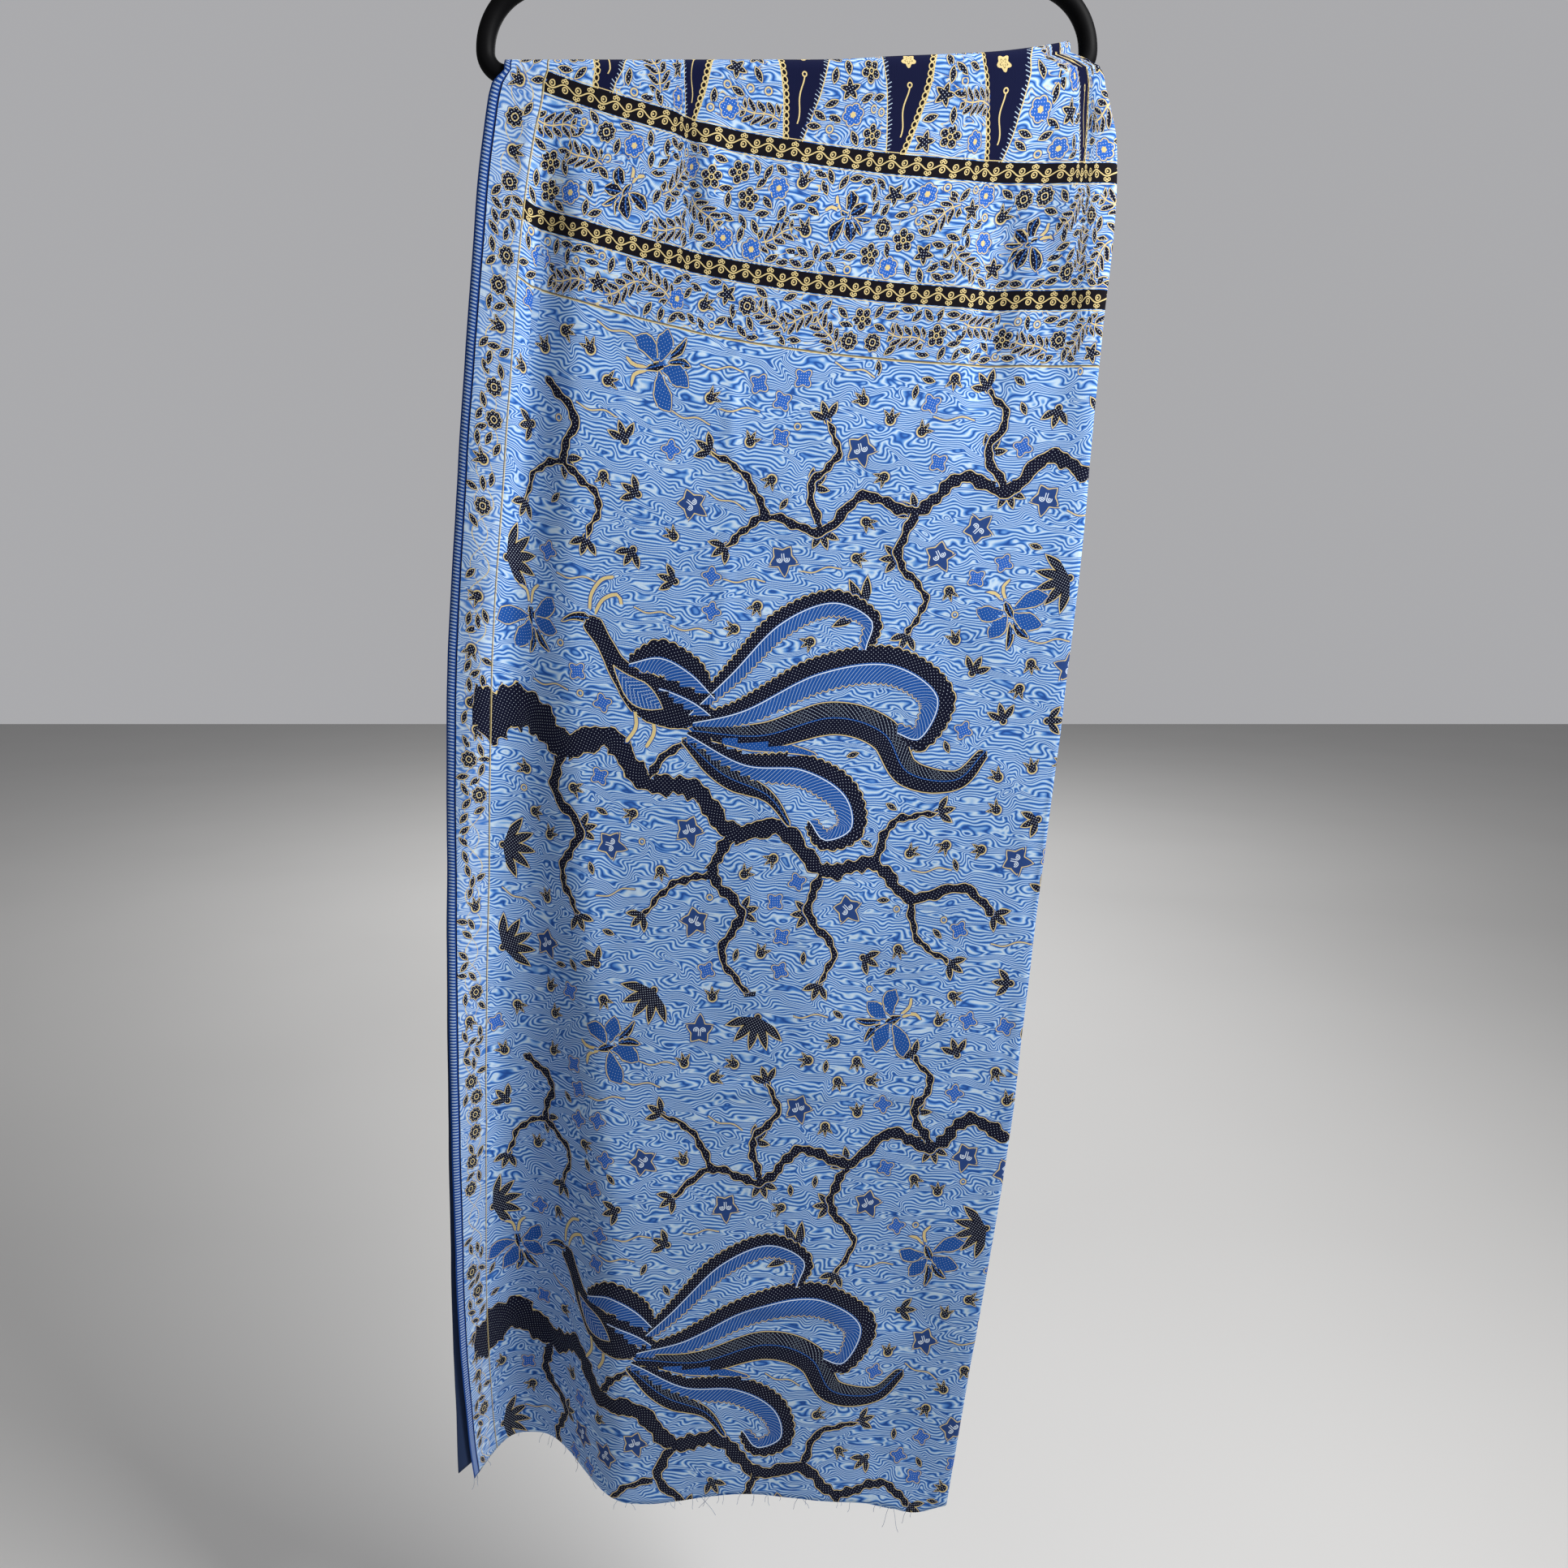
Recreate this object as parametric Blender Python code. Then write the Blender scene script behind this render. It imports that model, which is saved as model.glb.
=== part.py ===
"""Batik sarong, folded once lengthwise and laid over the bar of a tubular coat hanger.

Metres, +Z up, the front towards -Y. The origin is the inside top of the hanger's hook, where a rail holds it.
The cloth is one panel. It shows as two falls that meet along the top of the bar, and each fall is a folded
sheet: an outer layer, a round fold at the right edge and an inner layer that lies against the bar.
"""
import math

import bmesh
import bpy
import numpy as np

# Hanger
TUBE_RADIUS = 0.0068
HOOK_RADIUS = 0.0045
HOOK_INSIDE_RADIUS = 0.020
BAR_Z = -0.2032
BAR_HALF_STRAIGHT = 0.204  # half of the bar's straight run
CORNER_RADIUS = 0.015  # bend at each end of the bar
SHOULDER_END_RADIUS = 0.046  # rounded end of each shoulder
SHOULDER_SLOPE = math.radians(22)
NECK_RADIUS = 0.018  # bend over the top of the frame
TUBE_SIDES_RESOLUTION = 4
CORNER_STEPS = 5
SHOULDER_END_STEPS = 7
NECK_STEPS = 4
HOOK_STEPS = 22
HOOK_TIP_ANGLE = 195  # degrees from +X towards +Z
HOOK_FOOT_ANGLE = -48  # where the hook's curl turns down into its neck
HOOK_NECK = ((0.0078, -0.0462), (0.0026, -0.0520), (0.0004, -0.0590))  # x and z below the curl
SHARP_EDGE = math.radians(40)

# Cloth
CLOTH_LENGTH = 2.25  # along the warp, cut end to cut end
FRONT_FALL = 1.185
WALL = 0.0012
SEAM_GAP = 0.0003
BAR_LAYER_PITCH = 0.0018  # from inner to outer layer over the bar, middle to middle
FALL_SPACING = 0.016  # from the front fall's middle to the back fall's
SPREAD_DEPTH = 0.10  # each fall hangs free of the bar's round from this far down
LIFT_DEPTH = 0.060  # the cloth is down on the bar's level again this far down

INNER_TURN = TUBE_RADIUS + SEAM_GAP + WALL / 2
OUTER_TURN = INNER_TURN + BAR_LAYER_PITCH
MIDDLE_TURN = (INNER_TURN + OUTER_TURN) / 2
BAR_DEPTH = OUTER_TURN + WALL / 2  # depths are taken down from the cloth's top
CLOTH_TOP_Z = BAR_Z + BAR_DEPTH
BACK_FALL = CLOTH_LENGTH - FRONT_FALL - math.pi * MIDDLE_TURN

# Outline of the folded cloth: depth, left edge, right edge, fold radius at the right edge
OUTLINE = (
    (BAR_DEPTH, -0.2040, 0.2040, 0.0009),
    (0.0185, -0.2132, 0.2250, 0.0010),
    (0.0285, -0.2162, 0.2304, 0.0022),
    (0.0400, -0.2185, 0.2348, 0.0042),
    (0.0520, -0.2206, 0.2388, 0.0046),
    (0.0740, -0.2244, 0.2409, 0.0052),
    (0.0950, -0.2272, 0.2413, 0.0055),
    (0.1290, -0.2308, 0.2402, 0.0055),
    (0.1740, -0.2361, 0.2366, 0.0050),
    (0.2200, -0.2413, 0.2336, 0.0045),
    (0.2670, -0.2466, 0.2309, 0.0040),
    (0.3390, -0.2540, 0.2273, 0.0036),
    (0.4140, -0.2618, 0.2216, 0.0034),
    (0.4900, -0.2670, 0.2152, 0.0034),
    (0.5690, -0.2710, 0.2080, 0.0034),
    (0.6490, -0.2748, 0.2005, 0.0034),
    (0.7330, -0.2782, 0.1935, 0.0034),
    (0.8180, -0.2815, 0.1867, 0.0034),
    (0.9070, -0.2853, 0.1774, 0.0036),
    (0.9980, -0.2887, 0.1662, 0.0038),
    (1.0920, -0.2911, 0.1546, 0.0040),
    (1.1560, -0.2927, 0.1470, 0.0040),
    (1.2000, -0.2936, 0.1420, 0.0040),
)

# How the body hangs: depth, how far the outer layer's left edge stands in from the outline, y of the middle,
# from inner to outer layer
HANG = (
    (BAR_DEPTH, 0.0000, -0.0082, 0.0018),
    (0.055, 0.0000, -0.0100, 0.0025),
    (0.110, 0.0000, -0.0108, 0.0032),
    (0.305, 0.0000, -0.0125, 0.0034),
    (0.450, 0.0000, -0.0150, 0.0036),
    (0.620, 0.0015, -0.0175, 0.0038),
    (0.800, 0.0030, -0.0190, 0.0042),
    (0.900, 0.0045, -0.0170, 0.0045),
    (1.000, 0.0060, -0.0140, 0.0048),
    (1.100, 0.0085, -0.0100, 0.0052),
    (1.200, 0.0120, -0.0060, 0.0056),
)

# The great soft valley beside the left border: depth, its middle from the left edge, reach left, reach right,
# how far back it goes, steepness of its left side
VALLEY = (
    (0.000, 0.044, 0.012, 0.024, 0.004, 1.3),
    (0.066, 0.046, 0.013, 0.028, 0.008, 1.3),
    (0.157, 0.047, 0.014, 0.036, 0.011, 1.3),
    (0.305, 0.050, 0.017, 0.042, 0.012, 1.3),
    (0.447, 0.053, 0.028, 0.050, 0.013, 1.4),
    (0.586, 0.055, 0.046, 0.060, 0.021, 1.6),
    (0.745, 0.056, 0.051, 0.076, 0.034, 1.8),
    (0.892, 0.058, 0.054, 0.086, 0.047, 1.9),
    (1.050, 0.058, 0.055, 0.092, 0.061, 2.0),
    (1.200, 0.055, 0.053, 0.098, 0.072, 2.0),
)

# The bunched cloth stands up from the bar towards its right end: x, how far
LIFT = (
    (-0.100, 0.0000),
    (0.020, 0.0000),
    (0.045, 0.0005),
    (0.075, 0.0022),
    (0.123, 0.0040),
    (0.158, 0.0060),
    (0.190, 0.0100),
    (0.205, 0.0125),
    (0.300, 0.0125),
)

# Smaller folds: x at the top, x at the foot, top depth, foot depth, half width, rise towards the front
FRONT_FOLDS = (
    (-0.223, -0.246, 0.015, 0.550, 0.024, 0.003),  # rolled left border
    (-0.185, -0.183, -0.027, 0.087, 0.013, 0.005),  # cloth bunched beside the hanger's left end
    (-0.051, -0.058, -0.058, 0.137, 0.018, 0.006),  # short kink under the bar
    (0.162, 0.146, 0.035, 0.305, 0.026, -0.006),  # dent below the right shoulder
    (0.207, 0.217, -0.037, 0.266, 0.024, 0.005),  # roll at the top of the right fold
    (0.021, -0.017, 0.256, 1.056, 0.100, 0.005),  # slack of the body
    (0.110, 0.078, 0.806, 1.252, 0.060, -0.005),  # hollow near the right foot
)
BACK_FOLDS = (
    (-0.115, -0.140, -0.050, 0.400, 0.040, -0.006),
    (0.145, 0.120, 0.020, 0.490, 0.045, -0.007),
    (0.030, -0.008, 0.280, 1.080, 0.080, -0.008),
    (0.165, 0.125, 0.560, 1.120, 0.050, -0.005),
)

# How much lower each of the four hems hangs than its fall's length: share of the way across, front outer,
# front inner, back outer, back inner
HEMS = (
    (0.00, -0.0115, -0.026, -0.014, -0.024),
    (0.08, -0.0150, -0.028, -0.016, -0.024),
    (0.18, -0.0150, -0.028, -0.018, -0.024),
    (0.30, -0.0080, -0.020, -0.014, -0.020),
    (0.45, 0.0010, -0.014, -0.008, -0.016),
    (0.61, -0.0090, -0.012, -0.004, -0.012),
    (0.80, -0.0010, 0.001, -0.001, -0.006),
    (0.88, 0.0030, 0.0075, 0.000, -0.003),
    (0.95, 0.0100, 0.0145, 0.001, -0.001),
    (1.00, 0.0020, 0.0025, 0.001, 0.001),
)

FOLD_OPENS_FROM = 0.93  # share of the way across where the layers part towards the right fold
TURN_ROWS = 4  # rows over the quarter turn on the bar
FOLD_COLUMNS = 4  # columns round the right fold
FRONT_COLUMNS = 26  # in each layer
FRONT_ROWS = 36
BACK_COLUMNS = 16
BACK_ROWS = 24
ROW_CROWDING = 1.4  # rows lie closer together near the bar
COLUMN_CROWDING = 1.35  # columns lie closer together near the left border
SAMPLES_ACROSS = 240  # steps of the ruler that walks across the cloth


def read_table(rows, column, at):
    """Smooth curve through one column of a table whose first column is the place along it."""
    places = np.array([row[0] for row in rows])
    values = np.array([row[column] for row in rows])
    slopes = np.gradient(values, places)
    at = min(max(at, places[0]), places[-1])
    i = min(int(np.searchsorted(places, at, side="right")) - 1, len(rows) - 2)
    step = places[i + 1] - places[i]
    t = (at - places[i]) / step
    rise = values[i + 1] - values[i]
    start, end = slopes[i] * step, slopes[i + 1] * step
    return values[i] + start * t + (3 * rise - 2 * start - end) * t**2 + (start + end - 2 * rise) * t**3


def hump(t):
    """1 in the middle, falling softly to 0 at t = -1 and t = 1."""
    return np.cos(np.pi / 2 * np.clip(np.abs(t), 0, 1)) ** 2


def ease(t):
    t = min(max(t, 0.0), 1.0)
    return t * t * (3 - 2 * t)


def middle_y(x, depth, folds, left):
    """How far forward or back the middle of a fall hangs at x, an array, and one depth."""
    hang = read_table(HANG, 2, depth)
    centre = left + read_table(VALLEY, 1, depth)
    reach = np.where(x < centre, read_table(VALLEY, 2, depth), read_table(VALLEY, 3, depth))
    steepness = np.where(x < centre, read_table(VALLEY, 5, depth), 1.0)
    y = hang + read_table(VALLEY, 4, depth) * hump(np.abs((x - centre) / reach) ** steepness)
    for x_top, x_foot, top, foot, half_width, rise in folds:
        t = (depth - top) / (foot - top)
        y = y - rise * hump(2 * t - 1) * hump((x - x_top - (x_foot - x_top) * t) / half_width)
    return y


def lift(x, depth):
    """How far a point of either fall stands above its depth."""
    return max(read_table(LIFT, 1, x), 0.0) * (1 - ease(depth / LIFT_DEPTH))


class Fall:
    """One fall of the folded cloth, in front of the bar (side -1) or behind it (side 1)."""

    def __init__(self, side, length, folds, outer_hem, inner_hem):
        self.side = side
        self.length = length
        self.folds = folds
        self.hem_columns = {1: outer_hem, -1: inner_hem}
        self.spacing = 0.0 if side < 0 else FALL_SPACING

    def centre_y(self, x, depth):
        """Middle between the two layers. Both falls start round the bar and then hang nearly together."""
        spread = ease((depth - BAR_DEPTH) / SPREAD_DEPTH)
        hanging = middle_y(x, depth, self.folds, read_table(OUTLINE, 1, depth)) + self.spacing
        return self.side * MIDDLE_TURN * (1 - spread) + hanging * spread

    def place(self, share, layer, round_angle, depth):
        """A point of the cloth hanging free. layer is 1 outer, -1 inner or 0 on the right fold."""
        left = read_table(OUTLINE, 1, depth) + (read_table(HANG, 1, depth) if layer == 1 else 0.0)
        radius = read_table(OUTLINE, 3, depth)
        right = read_table(OUTLINE, 2, depth) - radius
        pitch = read_table(HANG, 3, depth)
        if layer == 0:
            x = right + radius * math.cos(round_angle)
            out = radius * math.sin(round_angle)
            y = self.centre_y(np.array([right]), depth)[0]
        else:
            samples = np.linspace(left, right, SAMPLES_ACROSS)
            profile = self.centre_y(samples, depth)
            steps = np.hypot(np.diff(samples), np.diff(profile))
            ruler = np.concatenate([[0.0], np.cumsum(steps)])
            x = np.interp(share * ruler[-1], ruler, samples)
            y = np.interp(share * ruler[-1], ruler, profile)
            opening = ease((share - FOLD_OPENS_FROM) / (1 - FOLD_OPENS_FROM))
            out = layer * (pitch / 2 + (radius - pitch / 2) * opening)
        return x, y + self.side * out, CLOTH_TOP_Z - depth + lift(x, depth)

    def place_on_bar(self, share, layer, round_angle, turn):
        """A point on the quarter turn over the bar, turn being the angle from the top."""
        radius = (OUTER_TURN - INNER_TURN) / 2
        right = BAR_HALF_STRAIGHT - radius
        if layer == 0:
            x = right + radius * math.cos(round_angle)
            out = MIDDLE_TURN + radius * math.sin(round_angle)
        else:
            x = -BAR_HALF_STRAIGHT + share * (right + BAR_HALF_STRAIGHT)
            out = MIDDLE_TURN + layer * radius
        return x, self.side * out * math.sin(turn), BAR_Z + out * math.cos(turn) + lift(x, 0.0)

    def columns(self, across):
        """The way round the folded sheet: selvage, outer layer, right fold, inner layer, selvage."""
        layer_shares = [(i / across) ** COLUMN_CROWDING for i in range(across + 1)]
        outer = [(share, 1, 0.0) for share in layer_shares]
        angles = [math.pi / 2 - math.pi * i / FOLD_COLUMNS for i in range(1, FOLD_COLUMNS)]
        fold = [(1.0, 0, angle) for angle in angles]
        inner = [(share, -1, 0.0) for share in reversed(layer_shares)]
        return outer + fold + inner

    def hem(self, share, layer, round_angle):
        """Depth of the hem at one column."""
        if layer:
            return self.length + read_table(HEMS, self.hem_columns[layer], share)
        outer, inner = (read_table(HEMS, self.hem_columns[side], 1.0) for side in (1, -1))
        return self.length + inner + (outer - inner) * (1 + math.sin(round_angle)) / 2

    def points(self, across, down):
        first_turn = math.asin(SEAM_GAP / 2 / (TUBE_RADIUS + SEAM_GAP))
        rows = []
        for row in range(TURN_ROWS):
            turn = first_turn + (math.pi / 2 - first_turn) * row / TURN_ROWS
            rows.append([self.place_on_bar(*column, turn) for column in self.columns(across)])
        for row in range(down + 1):
            share_down = (row / down) ** ROW_CROWDING
            rows.append([
                self.place(*column, BAR_DEPTH + (self.hem(*column) - BAR_DEPTH) * share_down)
                for column in self.columns(across)
            ])
        return rows


def finish_for(name, colour, roughness):
    material = bpy.data.materials.new(name)
    material.use_nodes = True
    shader = material.node_tree.nodes["Principled BSDF"]
    shader.inputs["Base Color"].default_value = (*colour, 1.0)
    shader.inputs["Roughness"].default_value = roughness
    shader.inputs["Metallic"].default_value = 0.0
    return material


def add_object(name, data, material):
    piece = bpy.data.objects.new(name, data)
    bpy.context.scene.collection.objects.link(piece)
    piece.data.materials.append(material)
    return piece


def make_fall(name, fall, across, down, material):
    """Grid of the fall's points, thickened to the wall."""
    rows = fall.points(across, down)
    bm = bmesh.new()
    bmesh.ops.create_grid(bm, x_segments=len(rows[0]) - 1, y_segments=len(rows) - 1, size=1.0)
    corners = sorted(bm.verts, key=lambda v: (round(v.co.y, 5), round(v.co.x, 5)))
    for corner, point in zip(corners, [point for row in rows for point in row]):
        corner.co = point
    if fall.side < 0:
        bmesh.ops.reverse_faces(bm, faces=bm.faces)
    mesh = bpy.data.meshes.new(name)
    bm.to_mesh(mesh)
    bm.free()
    mesh.shade_smooth()
    piece = add_object(name, mesh, material)
    wall = piece.modifiers.new("Wall", "SOLIDIFY")
    wall.thickness = WALL
    wall.offset = 0.0
    wall.use_even_offset = True
    return piece


def arc(centre_x, centre_z, radius, start, end, steps):
    """Points along an arc in the hanger's plane, angles in degrees from +X towards +Z."""
    angles = [math.radians(start + (end - start) * i / steps) for i in range(steps + 1)]
    return [(centre_x + radius * math.cos(a), centre_z + radius * math.sin(a)) for a in angles]


def frame_route():
    """Middle line of the hanger's closed frame, from the bar's right end over the top to its left end."""
    corner_z = BAR_Z + CORNER_RADIUS
    end_x = BAR_HALF_STRAIGHT + CORNER_RADIUS
    shoulder_x = end_x - SHOULDER_END_RADIUS
    slope = math.degrees(SHOULDER_SLOPE)
    right = arc(BAR_HALF_STRAIGHT, corner_z, CORNER_RADIUS, -90, 0, CORNER_STEPS)
    right += arc(shoulder_x, corner_z, SHOULDER_END_RADIUS, 0, 90 - slope, SHOULDER_END_STEPS)[1:]
    shoulder_foot_x, shoulder_foot_z = right[-1]
    apex_z = shoulder_foot_z + shoulder_foot_x * math.tan(SHOULDER_SLOPE)
    top_centre_z = apex_z - NECK_RADIUS / math.cos(SHOULDER_SLOPE)
    top = arc(0.0, top_centre_z, NECK_RADIUS, 90 - slope, 90 + slope, NECK_STEPS)
    left = [(-x, z) for x, z in reversed(right)]
    return right + top + left, top_centre_z + NECK_RADIUS


def hook_route(frame_top_z):
    """Middle line of the hook, from its tip over the rail and down into the frame."""
    radius = HOOK_INSIDE_RADIUS + HOOK_RADIUS
    curl = arc(0.0, -HOOK_INSIDE_RADIUS, radius, HOOK_TIP_ANGLE, HOOK_FOOT_ANGLE, HOOK_STEPS)
    return curl + list(HOOK_NECK) + [(0.0, frame_top_z)]


def make_tube(name, route, radius, closed):
    """A mesh tube along points in the hanger's plane."""
    curve = bpy.data.curves.new(name, "CURVE")
    curve.dimensions = "3D"
    curve.bevel_depth = radius
    curve.bevel_resolution = TUBE_SIDES_RESOLUTION
    curve.use_fill_caps = not closed
    spline = curve.splines.new("POLY")
    spline.points.add(len(route) - 1)
    for point, (x, z) in zip(spline.points, route):
        point.co = (x, 0.0, z, 1.0)
    spline.use_cyclic_u = closed
    guide = bpy.data.objects.new(name, curve)
    bpy.context.scene.collection.objects.link(guide)
    evaluated = guide.evaluated_get(bpy.context.evaluated_depsgraph_get())
    mesh = bpy.data.meshes.new_from_object(evaluated)
    bpy.data.objects.remove(guide, do_unlink=True)
    bpy.data.curves.remove(curve)
    mesh.materials.clear()
    mesh.shade_smooth()
    mesh.set_sharp_from_angle(angle=SHARP_EDGE)
    return mesh


def make_hanger(material):
    """Closed tubular frame with its hook moulded on."""
    route, frame_top_z = frame_route()
    frame = add_object("hanger", make_tube("frame_form", route, TUBE_RADIUS, closed=True), material)
    hook_mesh = make_tube("hook_form", hook_route(frame_top_z), HOOK_RADIUS, closed=False)
    hook = add_object("hook_form", hook_mesh, material)
    hook.hide_render = True
    hook.display_type = "WIRE"
    union = frame.modifiers.new("Hook", "BOOLEAN")
    union.operation = "UNION"
    union.object = hook
    return frame


def main():
    for old in list(bpy.data.objects):
        bpy.data.objects.remove(old, do_unlink=True)
    cotton = finish_for("Printed cotton", (0.16, 0.30, 0.62), 0.85)
    cotton_back = finish_for("Printed cotton, back fall", (0.14, 0.27, 0.58), 0.85)
    plastic = finish_for("Black moulded plastic", (0.012, 0.012, 0.014), 0.45)
    front = Fall(-1, FRONT_FALL, FRONT_FOLDS, 1, 2)
    back = Fall(1, BACK_FALL, BACK_FOLDS, 3, 4)
    make_fall("cloth_front", front, FRONT_COLUMNS, FRONT_ROWS, cotton)
    make_fall("cloth_back", back, BACK_COLUMNS, BACK_ROWS, cotton_back)
    make_hanger(plastic)


main()
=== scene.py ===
"""Looks of a batik sarong that hangs folded over a moulded plastic coat hanger.
Metres, +Z up, front towards -Y."""

import copy
import math

import bmesh
import bpy
import numpy as np
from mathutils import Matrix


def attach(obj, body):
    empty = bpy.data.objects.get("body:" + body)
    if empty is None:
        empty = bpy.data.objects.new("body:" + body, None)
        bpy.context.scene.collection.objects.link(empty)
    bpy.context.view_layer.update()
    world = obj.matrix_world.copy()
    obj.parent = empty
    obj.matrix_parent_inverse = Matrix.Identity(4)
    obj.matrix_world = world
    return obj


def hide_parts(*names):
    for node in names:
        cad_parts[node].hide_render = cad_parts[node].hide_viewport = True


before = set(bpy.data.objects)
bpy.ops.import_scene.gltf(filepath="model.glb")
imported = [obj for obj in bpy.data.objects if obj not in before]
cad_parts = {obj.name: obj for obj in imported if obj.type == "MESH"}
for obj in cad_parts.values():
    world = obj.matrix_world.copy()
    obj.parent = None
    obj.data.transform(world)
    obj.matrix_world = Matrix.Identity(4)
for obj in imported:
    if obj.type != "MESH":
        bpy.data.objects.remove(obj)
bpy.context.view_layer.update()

# Hanger
TUBE_RADIUS = 0.0068
HOOK_RADIUS = 0.0045
HOOK_INSIDE_RADIUS = 0.020
BAR_Z = -0.2032
BAR_HALF_STRAIGHT = 0.204
CORNER_RADIUS = 0.015
SHOULDER_END_RADIUS = 0.046
SHOULDER_SLOPE = math.radians(22)
NECK_RADIUS = 0.018
HOOK_TIP_ANGLE = 195
HOOK_FOOT_ANGLE = -48
HOOK_NECK = ((0.0078, -0.0462), (0.0026, -0.0520), (0.0004, -0.0590))
COLLAR_FOOT_RADIUS = 0.0075
COLLAR_TOP_RADIUS = 0.0052
COLLAR_HEIGHT = 0.016
COLLAR_RISE = 0.010  # from the frame's top to the collar's middle
COLLAR_BEVEL = 0.001

# Cloth as the solids have it. The shell's middle is the middle of the solid's wall.
CLOTH_WIDTH = 1.08
CLOTH_LENGTH = 2.25
FRONT_FALL = 1.185
SHELL = 0.0005
WALL = 0.0012
SEAM_GAP = 0.0003
BAR_LAYER_PITCH = 0.0018
FALL_SPACING = 0.016
SPREAD_DEPTH = 0.10
LIFT_DEPTH = 0.060
INNER_TURN = TUBE_RADIUS + SEAM_GAP + WALL / 2
OUTER_TURN = INNER_TURN + BAR_LAYER_PITCH
MIDDLE_TURN = (INNER_TURN + OUTER_TURN) / 2
BAR_DEPTH = OUTER_TURN + WALL / 2
CLOTH_TOP_Z = BAR_Z + BAR_DEPTH
BACK_FALL = CLOTH_LENGTH - FRONT_FALL - math.pi * MIDDLE_TURN
ROUND_CLOTH = 0.011  # cloth taken by the round fold at the right
LAYER_CLOTH = (CLOTH_WIDTH - ROUND_CLOTH) / 2

# Depth below the cloth's top, left edge, right edge, radius of the round fold
OUTLINE = (
    (BAR_DEPTH, -0.2040, 0.2040, 0.0009),
    (0.0185, -0.2132, 0.2250, 0.0010),
    (0.0285, -0.2162, 0.2304, 0.0022),
    (0.0400, -0.2185, 0.2348, 0.0042),
    (0.0520, -0.2206, 0.2388, 0.0046),
    (0.0740, -0.2244, 0.2409, 0.0052),
    (0.0950, -0.2272, 0.2413, 0.0055),
    (0.1290, -0.2308, 0.2402, 0.0055),
    (0.1740, -0.2361, 0.2366, 0.0050),
    (0.2200, -0.2413, 0.2336, 0.0045),
    (0.2670, -0.2466, 0.2309, 0.0040),
    (0.3390, -0.2540, 0.2273, 0.0036),
    (0.4140, -0.2618, 0.2216, 0.0034),
    (0.4900, -0.2670, 0.2152, 0.0034),
    (0.5690, -0.2710, 0.2080, 0.0034),
    (0.6490, -0.2748, 0.2005, 0.0034),
    (0.7330, -0.2782, 0.1935, 0.0034),
    (0.8180, -0.2815, 0.1867, 0.0034),
    (0.9070, -0.2853, 0.1774, 0.0036),
    (0.9980, -0.2887, 0.1662, 0.0038),
    (1.0920, -0.2911, 0.1546, 0.0040),
    (1.1560, -0.2927, 0.1470, 0.0040),
    (1.2000, -0.2936, 0.1420, 0.0040),
)
# Depth, how far the outer layer's left edge stands in from the outline, y of the middle of the front fall,
# from inner to outer layer
HANG = (
    (BAR_DEPTH, 0.0000, -0.0082, 0.0018),
    (0.055, 0.0000, -0.0100, 0.0025),
    (0.110, 0.0000, -0.0108, 0.0032),
    (0.305, 0.0000, -0.0125, 0.0034),
    (0.450, 0.0000, -0.0150, 0.0036),
    (0.620, 0.0015, -0.0175, 0.0038),
    (0.800, 0.0030, -0.0190, 0.0042),
    (0.900, 0.0045, -0.0170, 0.0045),
    (1.000, 0.0060, -0.0140, 0.0048),
    (1.100, 0.0085, -0.0100, 0.0052),
    (1.200, 0.0120, -0.0060, 0.0056),
)
# The great valley: depth, its middle from the left edge, reach left, reach right, how far back it goes,
# steepness of its left side
VALLEY = (
    (0.000, 0.044, 0.012, 0.024, 0.004, 1.3),
    (0.066, 0.046, 0.013, 0.028, 0.008, 1.3),
    (0.157, 0.047, 0.014, 0.036, 0.011, 1.3),
    (0.305, 0.050, 0.017, 0.042, 0.012, 1.3),
    (0.447, 0.053, 0.028, 0.050, 0.013, 1.4),
    (0.586, 0.055, 0.046, 0.060, 0.021, 1.6),
    (0.745, 0.056, 0.051, 0.076, 0.034, 1.8),
    (0.892, 0.058, 0.054, 0.086, 0.047, 1.9),
    (1.050, 0.058, 0.055, 0.092, 0.061, 2.0),
    (1.200, 0.055, 0.053, 0.098, 0.072, 2.0),
)
# x, how far the bunched cloth stands up from the bar
LIFT = (
    (-0.100, 0.0000),
    (0.020, 0.0000),
    (0.045, 0.0005),
    (0.075, 0.0022),
    (0.123, 0.0040),
    (0.158, 0.0060),
    (0.190, 0.0100),
    (0.205, 0.0125),
    (0.300, 0.0125),
)
# x at the top, x at the foot, top depth, foot depth, half width, rise towards the front
FRONT_FOLDS = (
    (-0.223, -0.246, 0.015, 0.550, 0.024, 0.003),
    (-0.185, -0.183, -0.027, 0.087, 0.013, 0.005),
    (-0.051, -0.058, -0.058, 0.137, 0.018, 0.006),
    (0.162, 0.146, 0.035, 0.305, 0.026, -0.006),
    (0.207, 0.217, -0.037, 0.266, 0.024, 0.005),
    (0.021, -0.017, 0.256, 1.056, 0.100, 0.005),
    (0.110, 0.078, 0.806, 1.252, 0.060, -0.005),
)
BACK_FOLDS = (
    (-0.115, -0.140, -0.050, 0.400, 0.040, -0.006),
    (0.145, 0.120, 0.020, 0.490, 0.045, -0.007),
    (0.030, -0.008, 0.280, 1.080, 0.080, -0.008),
    (0.165, 0.125, 0.560, 1.120, 0.050, -0.005),
)
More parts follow.
